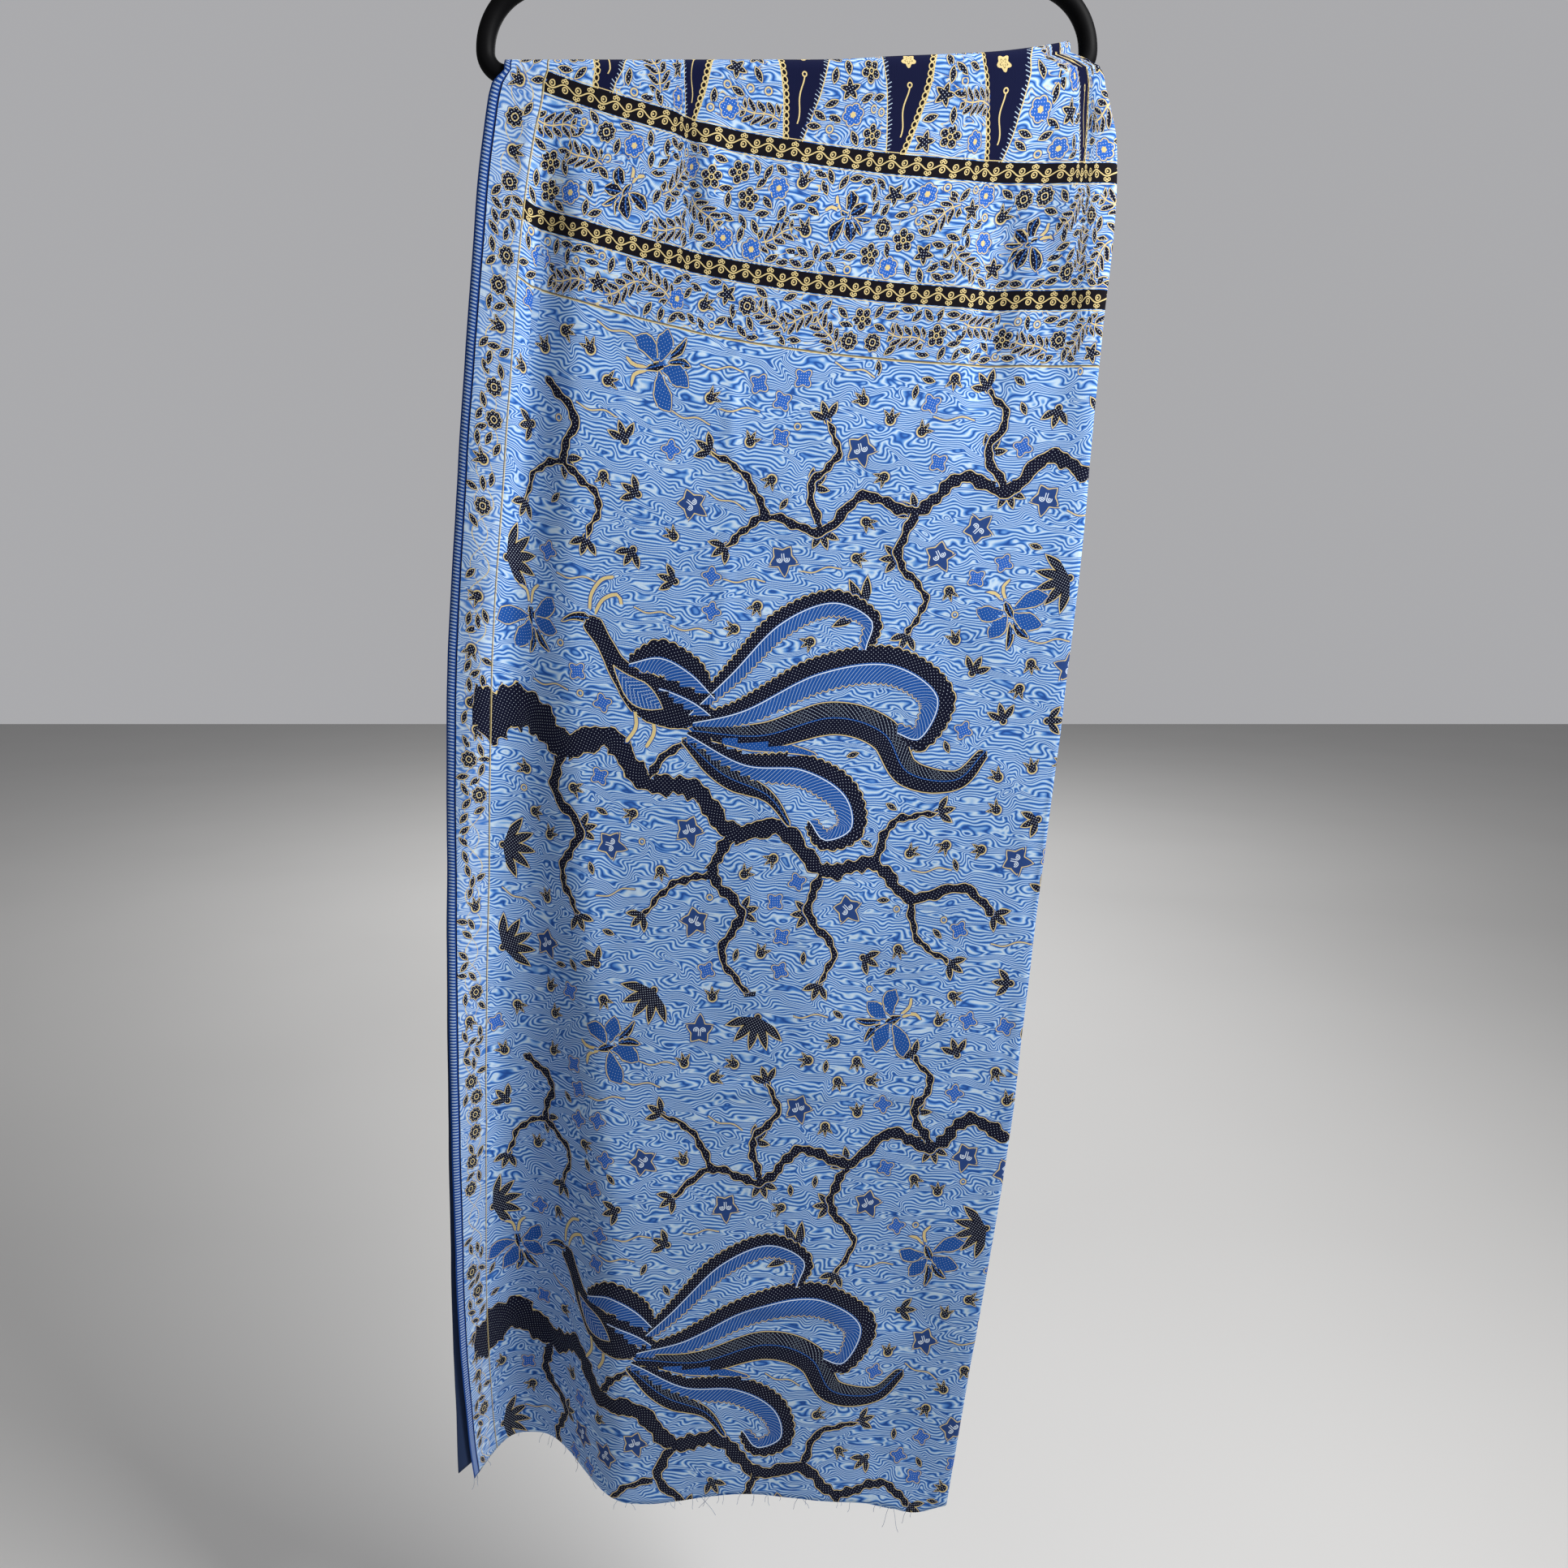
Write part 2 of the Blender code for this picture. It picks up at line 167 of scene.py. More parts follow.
# Share of the way across, how much lower each hem hangs: front outer, front inner, back outer, back inner
HEMS = (
    (0.00, -0.0115, -0.026, -0.014, -0.024),
    (0.08, -0.0150, -0.028, -0.016, -0.024),
    (0.18, -0.0150, -0.028, -0.018, -0.024),
    (0.30, -0.0080, -0.020, -0.014, -0.020),
    (0.45, 0.0010, -0.014, -0.008, -0.016),
    (0.61, -0.0090, -0.012, -0.004, -0.012),
    (0.80, -0.0010, 0.001, -0.001, -0.006),
    (0.88, 0.0030, 0.0075, 0.000, -0.003),
    (0.95, 0.0100, 0.0145, 0.001, -0.001),
    (1.00, 0.0020, 0.0025, 0.001, 0.001),
)
FOLD_OPENS_FROM = 0.93

# Pressed and soft creases of the outer layer: x and depth at each end, half width, rise outwards
FRONT_CREASES = (
    (-0.036, 0.177, -0.044, 0.324, 0.0035, 0.0012),
    (-0.044, 0.305, -0.055, 0.476, 0.0030, 0.0009),
    (0.213, 0.495, 0.189, 0.676, 0.0040, -0.0013),
    (0.187, 0.667, 0.167, 0.841, 0.0045, -0.0012),
    (0.168, 0.832, 0.146, 1.023, 0.0040, -0.0010),
    (-0.113, 0.783, 0.074, 0.791, 0.0050, 0.0016),
    (0.056, 0.789, 0.179, 0.812, 0.0045, 0.0014),
    (-0.070, 0.983, 0.063, 0.989, 0.0090, 0.0018),
    (0.045, 0.992, 0.143, 1.011, 0.0080, -0.0014),
    (-0.271, 0.763, -0.251, 0.806, 0.0090, 0.0018),
    (-0.271, 0.819, -0.243, 0.849, 0.0080, -0.0014),
    (-0.188, 0.015, -0.165, 0.066, 0.0060, 0.0016),
    (-0.206, 0.025, -0.192, 0.117, 0.0060, -0.0014),
    (-0.073, 0.020, -0.052, 0.122, 0.0070, 0.0018),
    (0.208, 0.066, 0.213, 0.197, 0.0080, -0.0016),
    (0.101, 0.035, 0.106, 0.127, 0.0090, 0.0010),
    (0.029, 0.586, 0.018, 0.763, 0.0100, 0.0010),
    (-0.139, 0.550, -0.150, 0.746, 0.0110, -0.0012),
    (-0.052, 1.080, -0.064, 1.175, 0.0120, 0.0014),
    (0.089, 1.056, 0.076, 1.182, 0.0100, -0.0012),
)
BACK_CREASES = (
    (0.020, 0.020, 0.012, 0.480, 0.0035, 0.0012),
    (0.010, 0.460, -0.012, 1.030, 0.0035, 0.0010),
    (-0.225, 0.370, 0.195, 0.398, 0.0050, 0.0014),
    (-0.250, 0.750, 0.175, 0.778, 0.0050, 0.0015),
    (-0.100, 0.040, -0.125, 0.210, 0.0090, 0.0018),
    (0.120, 0.110, 0.100, 0.300, 0.0100, -0.0016),
    (-0.170, 0.500, -0.186, 0.680, 0.0110, 0.0014),
    (0.080, 0.820, 0.060, 1.010, 0.0100, -0.0014),
)
# Slack that runs all through the cloth: wavelength, direction in degrees, height
RIPPLES = (
    (0.210, 12, 0.00055),
    (0.145, 71, 0.00040),
    (0.102, 148, 0.00032),
    (0.071, 35, 0.00022),
    (0.054, 104, 0.00016),
    (0.038, 163, 0.00010),
)
# Where width beyond the outline is gathered: x and half width of each place. Then, by depth, each place's
# share of it, and last the share that is spread evenly
GATHER_PLACES = ((-0.200, 0.012), (-0.075, 0.012), (0.065, 0.012), (0.140, 0.014), (0.216, 0.014))
GATHERS = (
    (0.000, 0.11, 0.15, 0.04, 0.09, 0.61, 0.00),
    (0.020, 0.00, 0.20, 0.05, 0.12, 0.60, 0.03),
    (0.055, 0.00, 0.20, 0.05, 0.12, 0.55, 0.08),
    (0.130, 0.05, 0.12, 0.04, 0.10, 0.34, 0.35),
    (0.260, 0.10, 0.03, 0.00, 0.02, 0.10, 0.75),
    (0.500, 0.05, 0.00, 0.00, 0.00, 0.00, 0.95),
    (1.200, 0.00, 0.00, 0.00, 0.00, 0.00, 1.00),
)

# Steps of the meshes and of the rulers that walk over them
MESH_STEP = 0.0044
ROUND_STEPS = 8
TURN_STEPS = 6
INNER_STEPS = 22
DEPTH_LADDER = 150
RULER_STEPS = 300

# The print's plan, measured along the warp from the middle of the first scroll band: positions are depths
KEPALA_MIDDLE = -0.172  # the tips of the two rows of triangles meet here
BAND_HALF = 0.0068
SECOND_BAND = 0.086
BODY_LINE = 0.133
TRIANGLE_PITCH = 0.082
TRIANGLE_SLOPE = 0.2036  # half width gained per length away from the tip
SELVAGE = 0.0075
STRIP = 0.038  # flowered strip beside the selvage
REPEAT = 0.568  # length of the print's repeat

# Each weft's drop from left to right: depth, drop
WEFT_DROP = ((0.00, 0.0748), (0.10, 0.0765), (0.20, 0.0775), (0.46, 0.055), (0.70, 0.044), (1.17, 0.028))
WEFT_SAG_FROM, WEFT_SAG_TO = 0.24, 0.79  # above and below these the drop is all sag, or even across
FIRST_BAND = 0.0055  # depth of the first scroll band's middle at the left selvage

# Motifs of the print: number, half length and half width in millimetres
BUD, LEAF_FAN, ROSETTE, SQUARE_FLOWER, TRI_LEAF, STAR = 1, 2, 3, 4, 5, 6
LEAF, WISP, CURL, BLOSSOM, ROUND_FLOWER, SPRAY, GREAT_FAN = 7, 8, 9, 10, 11, 12, 13
MOTIFS = {
    BUD: (9.6, 9.6),
    LEAF_FAN: (17.0, 17.0),
    ROSETTE: (9.0, 9.0),
    SQUARE_FLOWER: (8.8, 8.8),
    TRI_LEAF: (16.5, 16.5),
    STAR: (8.0, 8.0),
    LEAF: (5.6, 2.4),
    WISP: (19.0, 2.6),
    CURL: (3.6, 3.6),
    BLOSSOM: (8.0, 8.0),
    ROUND_FLOWER: (7.5, 7.5),
    SPRAY: (15.5, 8.4),
    GREAT_FAN: (31.0, 31.0),
}
FAR_OFF = 99.0  # distance from any motif or stroke where there is none, in millimetres
OUTLINE_INK = 1.4  # millimetres that a motif's outline stands out of it
MOTIF_MARGIN = 0.003  # faces this far outside a motif still carry it
STROKE_MARGIN = 0.0045
STROKE_CLEARANCE = 0.004  # between a stroke and a scattered motif
TIP_TAPER = 1.5  # how fast a stroke narrows beyond its ends
PRINT_SEED = 11

# Kinds of drawn stroke
WINGED_BODY, FEATHER, DARK_LEAF, DOTTED_WING, GOLD_LINE = 1, 2, 3, 4, 5


def read_table(rows, column, at):
    """Smooth curve through one column of a table whose first column is the place along it."""
    places = np.array([row[0] for row in rows])
    values = np.array([row[column] for row in rows])
    slopes = np.gradient(values, places)
    at = np.clip(at, places[0], places[-1])
    i = np.clip(np.searchsorted(places, at, side="right") - 1, 0, len(rows) - 2)
    step = places[i + 1] - places[i]
    t = (at - places[i]) / step
    rise = values[i + 1] - values[i]
    start, end = slopes[i] * step, slopes[i + 1] * step
    return values[i] + start * t + (3 * rise - 2 * start - end) * t**2 + (start + end - 2 * rise) * t**3


def hump(t):
    return np.cos(np.pi / 2 * np.clip(np.abs(t), 0, 1)) ** 2


def ease(t):
    t = np.clip(t, 0, 1)
    return t * t * (3 - 2 * t)


def crease_rise(creases, x, depth):
    """Height of all the creases at places on the outer layer."""
    total = np.zeros(np.broadcast(x, depth).shape)
    for x_top, top, x_foot, foot, half_width, rise in creases:
        run_x, run_d = x_foot - x_top, foot - top
        length = math.hypot(run_x, run_d)
        along = ((x - x_top) * run_x + (depth - top) * run_d) / length
        across = ((x - x_top) * run_d - (depth - top) * run_x) / length
        across = across + 0.0022 * np.sin(along * 52 + x_top * 400)
        total += rise * hump(along / length * 2 - 1) ** 0.6 * hump(across / (half_width * 2.2))
    return total


def ripple_rise(x, depth):
    total = np.zeros(np.broadcast(x, depth).shape)
    for wavelength, direction, height in RIPPLES:
        turn = math.radians(direction)
        phase = (x * math.cos(turn) + depth * math.sin(turn)) / wavelength * 2 * np.pi
        total += height * np.sin(phase + direction + 1.3 * np.sin(phase * 0.37 + depth * 9))
    return total


def lift(x, depth):
    """How far a point of either fall stands above its depth."""
    return np.maximum(read_table(LIFT, 1, x), 0.0) * (1 - ease(depth / LIFT_DEPTH))


class Fall:
    """One fall of the folded cloth, in front of the bar (side -1) or behind it (side 1)."""

    def __init__(self, side, length, folds, creases, outer_hem, inner_hem):
        self.side, self.length, self.folds, self.creases = side, length, folds, creases
        self.hem_columns = {1: outer_hem, -1: inner_hem}
        self.spacing = 0.0 if side < 0 else FALL_SPACING
        self.make_columns()

    def make_columns(self):
        """The way round the folded sheet: selvage, outer layer, right fold, inner layer, selvage."""
        outer = np.linspace(0, 1, round(LAYER_CLOTH / MESH_STEP) + 1)
        quarter = math.pi / 2
        angles = quarter - math.pi * np.arange(1, ROUND_STEPS) / ROUND_STEPS
        inner = np.linspace(1, 0, INNER_STEPS + 1)
        self.share = np.concatenate([outer, np.ones(len(angles)), inner])
        self.layer = np.concatenate([np.ones(len(outer)), np.zeros(len(angles)), -np.ones(len(inner))])
        self.angle = np.concatenate([np.full(len(outer), quarter), angles, np.full(len(inner), -quarter)])
        round_u = LAYER_CLOTH + ROUND_CLOTH * (quarter - angles) / math.pi
        self.u = np.concatenate([outer * LAYER_CLOTH, round_u, CLOTH_WIDTH - inner * LAYER_CLOTH])

    def middle_y(self, x, depth):
        """y of the middle of the hanging fall, with its great valley and soft folds."""
        left = read_table(OUTLINE, 1, depth)
        centre = left + read_table(VALLEY, 1, depth)
        reach = np.where(x < centre, read_table(VALLEY, 2, depth), read_table(VALLEY, 3, depth))
        steepness = np.where(x < centre, read_table(VALLEY, 5, depth), 1.0)
        valley = hump(np.abs((x - centre) / reach) ** steepness)
        y = read_table(HANG, 2, depth) + read_table(VALLEY, 4, depth) * valley
        for x_top, x_foot, top, foot, half_width, rise in self.folds:
            t = (depth - top) / (foot - top)
            y = y - rise * hump(2 * t - 1) * hump((x - x_top - (x_foot - x_top) * t) / half_width)
        return y

    def centre_y(self, x, depth):
        """y of the middle of the fall, which leaves the bar's turn and swings out to hang."""
        spread = ease((depth - BAR_DEPTH) / SPREAD_DEPTH)
        return self.side * MIDDLE_TURN * (1 - spread) + (self.middle_y(x, depth) + self.spacing) * spread

    def edges(self, depth, layer):
        """x of a layer's left edge and of the round fold's middle."""
        left = read_table(OUTLINE, 1, depth) + np.where(layer == 1, read_table(HANG, 1, depth), 0.0)
        return left, read_table(OUTLINE, 2, depth) - read_table(OUTLINE, 3, depth)

    def column_x(self, layer):
        """x of each share across, at a ladder of depths. A ruler walks over the folds and the gathers."""
        ladder = np.linspace(BAR_DEPTH, self.length + 0.02, DEPTH_LADDER)
        rungs = []
        for depth in ladder:
            left, right = self.edges(depth, layer)
            x = np.linspace(left, right, RULER_STEPS)
            steps = np.hypot(np.diff(x), np.diff(self.centre_y(x, depth)))
            spare = LAYER_CLOTH - steps.sum()
            middles = (x[1:] + x[:-1]) / 2
            for i, (place, half_width) in enumerate(GATHER_PLACES):
                weight = hump((middles - min(place, right - 0.010)) / half_width)
                steps = steps + spare * read_table(GATHERS, i + 1, depth) * weight / weight.sum()
            steps = steps + spare * read_table(GATHERS, len(GATHER_PLACES) + 1, depth) / len(steps)
            ruler = np.concatenate([[0.0], np.cumsum(steps)])
            rungs.append(np.interp(self.share * ruler[-1], ruler, x))
        return ladder, np.array(rungs)

    def hem(self):
        """Depth of the hem at each column."""
        outer, inner = (read_table(HEMS, self.hem_columns[side], self.share) for side in (1, -1))
        mix = (1 + np.sin(self.angle)) / 2
        return self.length + inner + (outer - inner) * mix

    def lattice(self):
        """Points of the shell's middle, row by row down from the bar's top, and their places on the warp."""
        first_turn = math.asin(SEAM_GAP / 2 / (TUBE_RADIUS + SEAM_GAP))
        down = round(self.length / MESH_STEP)
        t = np.linspace(0, 1, down + 1)[:, None]
        depth = BAR_DEPTH + (self.hem() - BAR_DEPTH)[None, :] * t
        x = np.zeros_like(depth)
        for layer in (1, -1):
            ladder, rungs = self.column_x(layer)
            for i in np.flatnonzero(self.layer == layer):
                x[:, i] = np.interp(depth[:, i], ladder, rungs[:, i])
        radius = read_table(OUTLINE, 3, depth)
        right = read_table(OUTLINE, 2, depth) - radius
        spread = ease((depth - BAR_DEPTH) / SPREAD_DEPTH)
        half_pitch = read_table(HANG, 3, depth) / 2
        opening = ease((self.share - FOLD_OPENS_FROM) / (1 - FOLD_OPENS_FROM))
        out = self.layer * (half_pitch + (radius - half_pitch) * opening)
        round_it = self.layer == 0
        x[:, round_it] = (right + radius * np.cos(self.angle))[:, round_it]
        out[:, round_it] = (radius * np.sin(self.angle))[:, round_it]
        y = np.where(round_it, self.centre_y(right, depth), self.centre_y(x, depth))
        wear = (crease_rise(self.creases, x, depth) * (self.layer == 1) + ripple_rise(x, depth)) * spread
        y = y + self.side * (out + wear)
        hanging = np.stack([x, y, CLOTH_TOP_Z - depth + lift(x, depth)], axis=-1)
        turns = first_turn + (math.pi / 2 - first_turn) * np.arange(TURN_STEPS)[:, None] / TURN_STEPS
        turn_out = MIDDLE_TURN + out[:1]
        over = np.stack([
            np.repeat(x[:1], TURN_STEPS, axis=0),
            self.side * turn_out * np.sin(turns),
            BAR_Z + turn_out * np.cos(turns) + lift(x[:1], 0.0),
        ], axis=-1)
        v = self.warp_place(depth)
        v_over = v[:1] + self.side * (math.pi / 2 - turns) * OUTER_TURN
        return np.concatenate([over, hanging]), np.concatenate([v_over, v])

    def warp_place(self, depth):
        """Place along the warp from the first scroll band: more down the front, less down the back."""
        share = np.minimum(self.u, CLOTH_WIDTH - self.u) / (CLOTH_WIDTH / 2)
        sag = 1 - (1 - share) ** 2.5
        if self.side < 0:
            even = ease((depth - WEFT_SAG_FROM) / (WEFT_SAG_TO - WEFT_SAG_FROM))
            return depth - FIRST_BAND - read_table(WEFT_DROP, 1, depth) * (sag + (share - sag) * even)
        drop = WEFT_DROP[0][1] * sag * (1 - depth / self.length)
        return 2 * BAR_DEPTH - FIRST_BAND - math.pi * OUTER_TURN - drop - depth


def smooth_route(points, step=0.0025):
    """Catmull-Rom curve through (u, v) points, in even steps."""
    p = np.array([points[0], *points, points[-1]], dtype=float)
    p[0], p[-1] = 2 * p[1] - p[2], 2 * p[-2] - p[-3]
    t = np.linspace(0, 1, 24, endpoint=False)[:, None]
    runs = []
    for a, b, c, d in zip(p, p[1:], p[2:], p[3:]):
        cubic = -a + 3 * b - 3 * c + d
        runs.append(0.5 * (2 * b + (c - a) * t + (2 * a - 5 * b + 4 * c - d) * t**2 + cubic * t**3))
    fine = np.concatenate(runs + [p[-2:-1]])
    length = np.concatenate([[0], np.cumsum(np.linalg.norm(np.diff(fine, axis=0), axis=1))])
    even = np.linspace(0, length[-1], max(3, round(length[-1] / step)))
    return np.stack([np.interp(even, length, fine[:, i]) for i in (0, 1)], axis=-1), even


class Stroke:
    """One drawn stroke of the print: a route over the cloth with a half width all along it."""

    def __init__(self, kind, widths, points, rough=0.0):
        self.kind = kind
        self.points, self.along = smooth_route(points)
        t = self.along / self.along[-1]
        self.half_width = np.interp(t, np.linspace(0, 1, len(widths)), widths) / 1000
        knots = np.sin(self.along * 410 + points[0][0] * 90) * np.sin(self.along * 173 + points[0][1] * 50)
        self.half_width *= 1 + rough * knots
        tangent = np.gradient(self.points, axis=0)
        self.tangent = tangent / np.linalg.norm(tangent, axis=1)[:, None]

    def measure(self, places):
        """Nearest step, along, across and half width of the stroke at places on the cloth."""
        gaps = places[:, None, :] - self.points[None]
        nearest = (gaps**2).sum(-1).argmin(1)
        gap = gaps[np.arange(len(places)), nearest]
        tangent = self.tangent[nearest]
        ahead = (gap * tangent).sum(-1)
        across = gap[:, 1] * tangent[:, 0] - gap[:, 0] * tangent[:, 1]
        last = len(self.along) - 1
        beyond = ((nearest == 0) & (ahead < 0)) | ((nearest == last) & (ahead > 0))
        half_width = self.half_width[nearest] - beyond * np.abs(ahead) * TIP_TAPER
        return self.along[nearest] + ahead, across, half_width


def moved(strokes, du, dv, turn=0.0, flip=1, size=1.0):
    """Strokes given round (0, 0), turned and set down at a place."""
    c, s = size * math.cos(turn), size * math.sin(turn)
    result = []
    for kind, widths, points in strokes:
        places = [(du + flip * x * c - y * s, dv + flip * x * s + y * c) for x, y in points]
        result.append((kind, [size * w for w in widths], places))
    return result


# A butterfly round its own middle: kind of stroke, half widths in millimetres along it, points in metres
BUTTERFLY = (
    (DOTTED_WING, (0.5, 3.5, 6.5, 7.0, 1.0), ((0.002, -0.003), (0.012, -0.016), (0.024, -0.024))),
    (DOTTED_WING, (0.5, 4.5, 7.5, 6.0, 1.0), ((0.003, 0.000), (0.016, 0.002), (0.030, 0.000))),
    (DOTTED_WING, (0.5, 3.5, 6.0, 6.5, 1.0), ((-0.003, 0.001), (-0.014, 0.008), (-0.026, 0.008))),
    (DOTTED_WING, (0.5, 4.0, 7.0, 5.5, 1.0), ((0.000, 0.004), (-0.003, 0.015), (-0.006, 0.026))),
    (DARK_LEAF, (0.5, 3.2, 0.5), ((0.006, 0.006), (0.016, 0.012), (0.026, 0.014))),
    (DARK_LEAF, (0.5, 3.0, 0.5), ((0.004, 0.008), (0.010, 0.019), (0.012, 0.030))),
    (DARK_LEAF, (1.0, 3.4, 1.0), ((-0.007, -0.007), (-0.002, -0.002), (0.005, 0.004))),
    (GOLD_LINE, (0.4, 0.5, 0.3), ((-0.007, -0.008), (-0.014, -0.016), (-0.012, -0.025))),
    (GOLD_LINE, (0.4, 0.5, 0.3), ((-0.008, -0.006), (-0.018, -0.010), (-0.026, -0.008))),
)
# A perched bird with a long tail, round its chest, in the same way
BIRD = (
    (WINGED_BODY, (4.5, 14.0, 19.5, 18.5, 11.5, 7.5, 6.5, 8.5),
     ((0.062, 0.030), (0.036, 0.018), (0.012, 0.006), (-0.006, -0.010), (-0.018, -0.028), (-0.030, -0.044))),
    (DARK_LEAF, (3.6, 2.2, 0.4), ((-0.034, -0.047), (-0.045, -0.046), (-0.056, -0.040))),
    (GOLD_LINE, (0.4, 0.6, 0.5), ((-0.028, -0.050), (-0.021, -0.064), (-0.009, -0.070), (-0.005, -0.062))),
    (GOLD_LINE, (0.4, 0.6, 0.5), ((-0.032, -0.052), (-0.031, -0.067), (-0.023, -0.080), (-0.013, -0.084))),
    (FEATHER, (4.5, 15.0, 13.5, 3.0), ((0.004, -0.014), (0.030, -0.022), (0.056, -0.012), (0.078, 0.006))),
    (FEATHER, (3.0, 10.5, 10.5, 2.2), ((0.006, 0.004), (0.032, 0.004), (0.060, 0.012), (0.080, 0.024))),
    (FEATHER, (4.5, 10.5, 13.5, 15.0, 13.5, 6.0),
     ((0.058, 0.030), (0.105, 0.014), (0.165, -0.022), (0.225, -0.034), (0.268, -0.010), (0.258, 0.026),
      (0.234, 0.022))),
    (DARK_LEAF, (4.5, 10.5, 13.5, 13.5, 10.5, 4.5),
     ((0.060, 0.036), (0.120, 0.034), (0.180, 0.014), (0.225, 0.024), (0.250, 0.056), (0.292, 0.060),
      (0.314, 0.036))),
    (FEATHER, (4.5, 9.0, 12.0, 13.5, 10.5, 4.5),
     ((0.058, 0.040), (0.108, 0.060), (0.158, 0.060), (0.196, 0.078), (0.206, 0.106), (0.184, 0.118),
      (0.170, 0.104))),
    (FEATHER, (3.0, 7.5, 9.8, 9.8, 4.5),
     ((0.056, 0.024), (0.092, -0.016), (0.130, -0.062), (0.172, -0.084), (0.206, -0.072), (0.204, -0.048))),
    (DARK_LEAF, (3.0, 7.5, 9.0, 4.5, 1.5), ((0.054, 0.044), (0.090, 0.070), (0.130, 0.084), (0.152, 0.108))),
    (DOTTED_WING, (2.0, 5.0, 6.0, 4.0, 1.0),
     ((0.058, 0.034), (0.100, 0.040), (0.140, 0.042), (0.170, 0.046))),
    (GOLD_LINE, (0.6, 0.7, 0.6), ((0.010, 0.022), (0.012, 0.038), (0.004, 0.052))),
    (GOLD_LINE, (0.6, 0.7, 0.6), ((0.024, 0.024), (0.028, 0.040), (0.022, 0.054))),
    (GOLD_LINE, (1.1, 1.1), ((-0.0275, -0.0400), (-0.0262, -0.0392))),
)
# Branches in one repeat of the body: half widths, points from the cloth's left selvage and the repeat's top
BRANCHES = (
    ((5.5, 5.0, 4.5, 4.0, 3.5, 3.0, 2.0),
     ((0.536, 0.085), (0.500, 0.070), (0.470, 0.098), (0.430, 0.088), (0.395, 0.118), (0.350, 0.108),
      (0.318, 0.140), (0.272, 0.132), (0.240, 0.160))),
    ((3.5, 2.8, 1.6), ((0.470, 0.098), (0.450, 0.068), (0.462, 0.040), (0.444, 0.018))),
    ((3.5, 3.0, 2.2, 1.5), ((0.395, 0.118), (0.384, 0.158), (0.410, 0.190), (0.398, 0.222))),
    ((3.0, 2.4, 1.5), ((0.318, 0.140), (0.306, 0.104), (0.326, 0.076), (0.314, 0.050))),
    ((2.8, 2.2, 1.4), ((0.272, 0.132), (0.250, 0.100), (0.222, 0.086))),
    ((21.0, 14.0, 9.0, 8.0, 7.5, 7.0, 6.0, 5.0, 4.0, 3.0),
     ((0.030, 0.335), (0.070, 0.322), (0.110, 0.345), (0.150, 0.334), (0.182, 0.366), (0.226, 0.370),
      (0.262, 0.402), (0.305, 0.395), (0.345, 0.428), (0.390, 0.420), (0.425, 0.447), (0.470, 0.435),
      (0.500, 0.455))),
    ((4.5, 3.8, 3.0, 1.8), ((0.110, 0.345), (0.102, 0.385), (0.128, 0.414), (0.112, 0.452), (0.130, 0.486))),
    ((3.5, 2.8, 1.5), ((0.182, 0.366), (0.204, 0.338), (0.230, 0.330))),
    ((4.5, 4.0, 3.0, 1.8), ((0.262, 0.402), (0.248, 0.440), (0.276, 0.470), (0.262, 0.508), (0.288, 0.540))),
    ((3.5, 2.8, 1.6), ((0.345, 0.428), (0.336, 0.466), (0.362, 0.496), (0.352, 0.526))),
    ((3.5, 2.6, 1.4), ((0.390, 0.420), (0.402, 0.384), (0.440, 0.372))),
    ((3.0, 2.2, 1.4), ((0.248, 0.440), (0.214, 0.452), (0.190, 0.480))),
    ((3.0, 2.2, 1.4), ((0.425, 0.447), (0.436, 0.482), (0.466, 0.500))),
    ((2.5, 3.0, 2.6, 2.2, 1.4),
     ((0.075, 0.060), (0.105, 0.082), (0.098, 0.115), (0.130, 0.140), (0.122, 0.172))),
    ((2.2, 1.4), ((0.098, 0.115), (0.072, 0.130), (0.062, 0.155))),
)
# Tri-lobed leaves of the repeat: u, v, turn in degrees
LOBED_LEAVES = (
    (0.418, 0.154, 150), (0.288, 0.166, 170), (0.224, 0.404, 160), (0.370, 0.460, 130), (0.156, 0.424, 100),
    (0.344, 0.070, 160), (0.502, 0.104, 190), (0.236, 0.482, 200), (0.208, 0.130, 120), (0.096, 0.520, 150),
)
# Great fans of leaves, which grow in from the flowered strip and here and there: u, v, turn in degrees
GREAT_FANS = (
    (0.046, 0.205, 75), (0.050, 0.440, 95), (0.052, 0.530, 60), (0.360, 0.205, 300), (0.530, 0.170, 250),
    (0.300, 0.560, 190), (0.205, 0.545, 215),
)
TWIG_WIDEST = 6.5  # branches thinner than this carry leaves at every second bend too
TWIG_LEAN = 68  # degrees that the leaves at a bend stand away from the branch
BIRD_AT = (0.160, 0.284)
# Butterflies of the repeat, and smaller ones of the upper band: u, v, turn in degrees, -1 where turned over
BUTTERFLIES = (
    (0.482, 0.200, 20, 1), (0.074, 0.246, -60, -1), (0.420, 0.555, 110, 1), (0.168, 0.030, 200, -1),
)
BAND_BUTTERFLY_SIZE = 0.62
BAND_BUTTERFLIES = ((0.118, 0.052, 70, 1), (0.300, 0.038, 250, -1), (0.455, 0.047, 110, 1))
BRANCH_KNOTS = 0.32  # share by which a branch's width varies along it
INNER_SHOWS_FROM = 0.70  # the inner layer's print shows from here along the warp, below the back hem
# Where the body's repeats start along the warp, in front and behind
BODY_STARTS = (BODY_LINE, BODY_LINE + REPEAT, KEPALA_MIDDLE * 2 - BODY_LINE - REPEAT,
               KEPALA_MIDDLE * 2 - BODY_LINE - 2 * REPEAT)


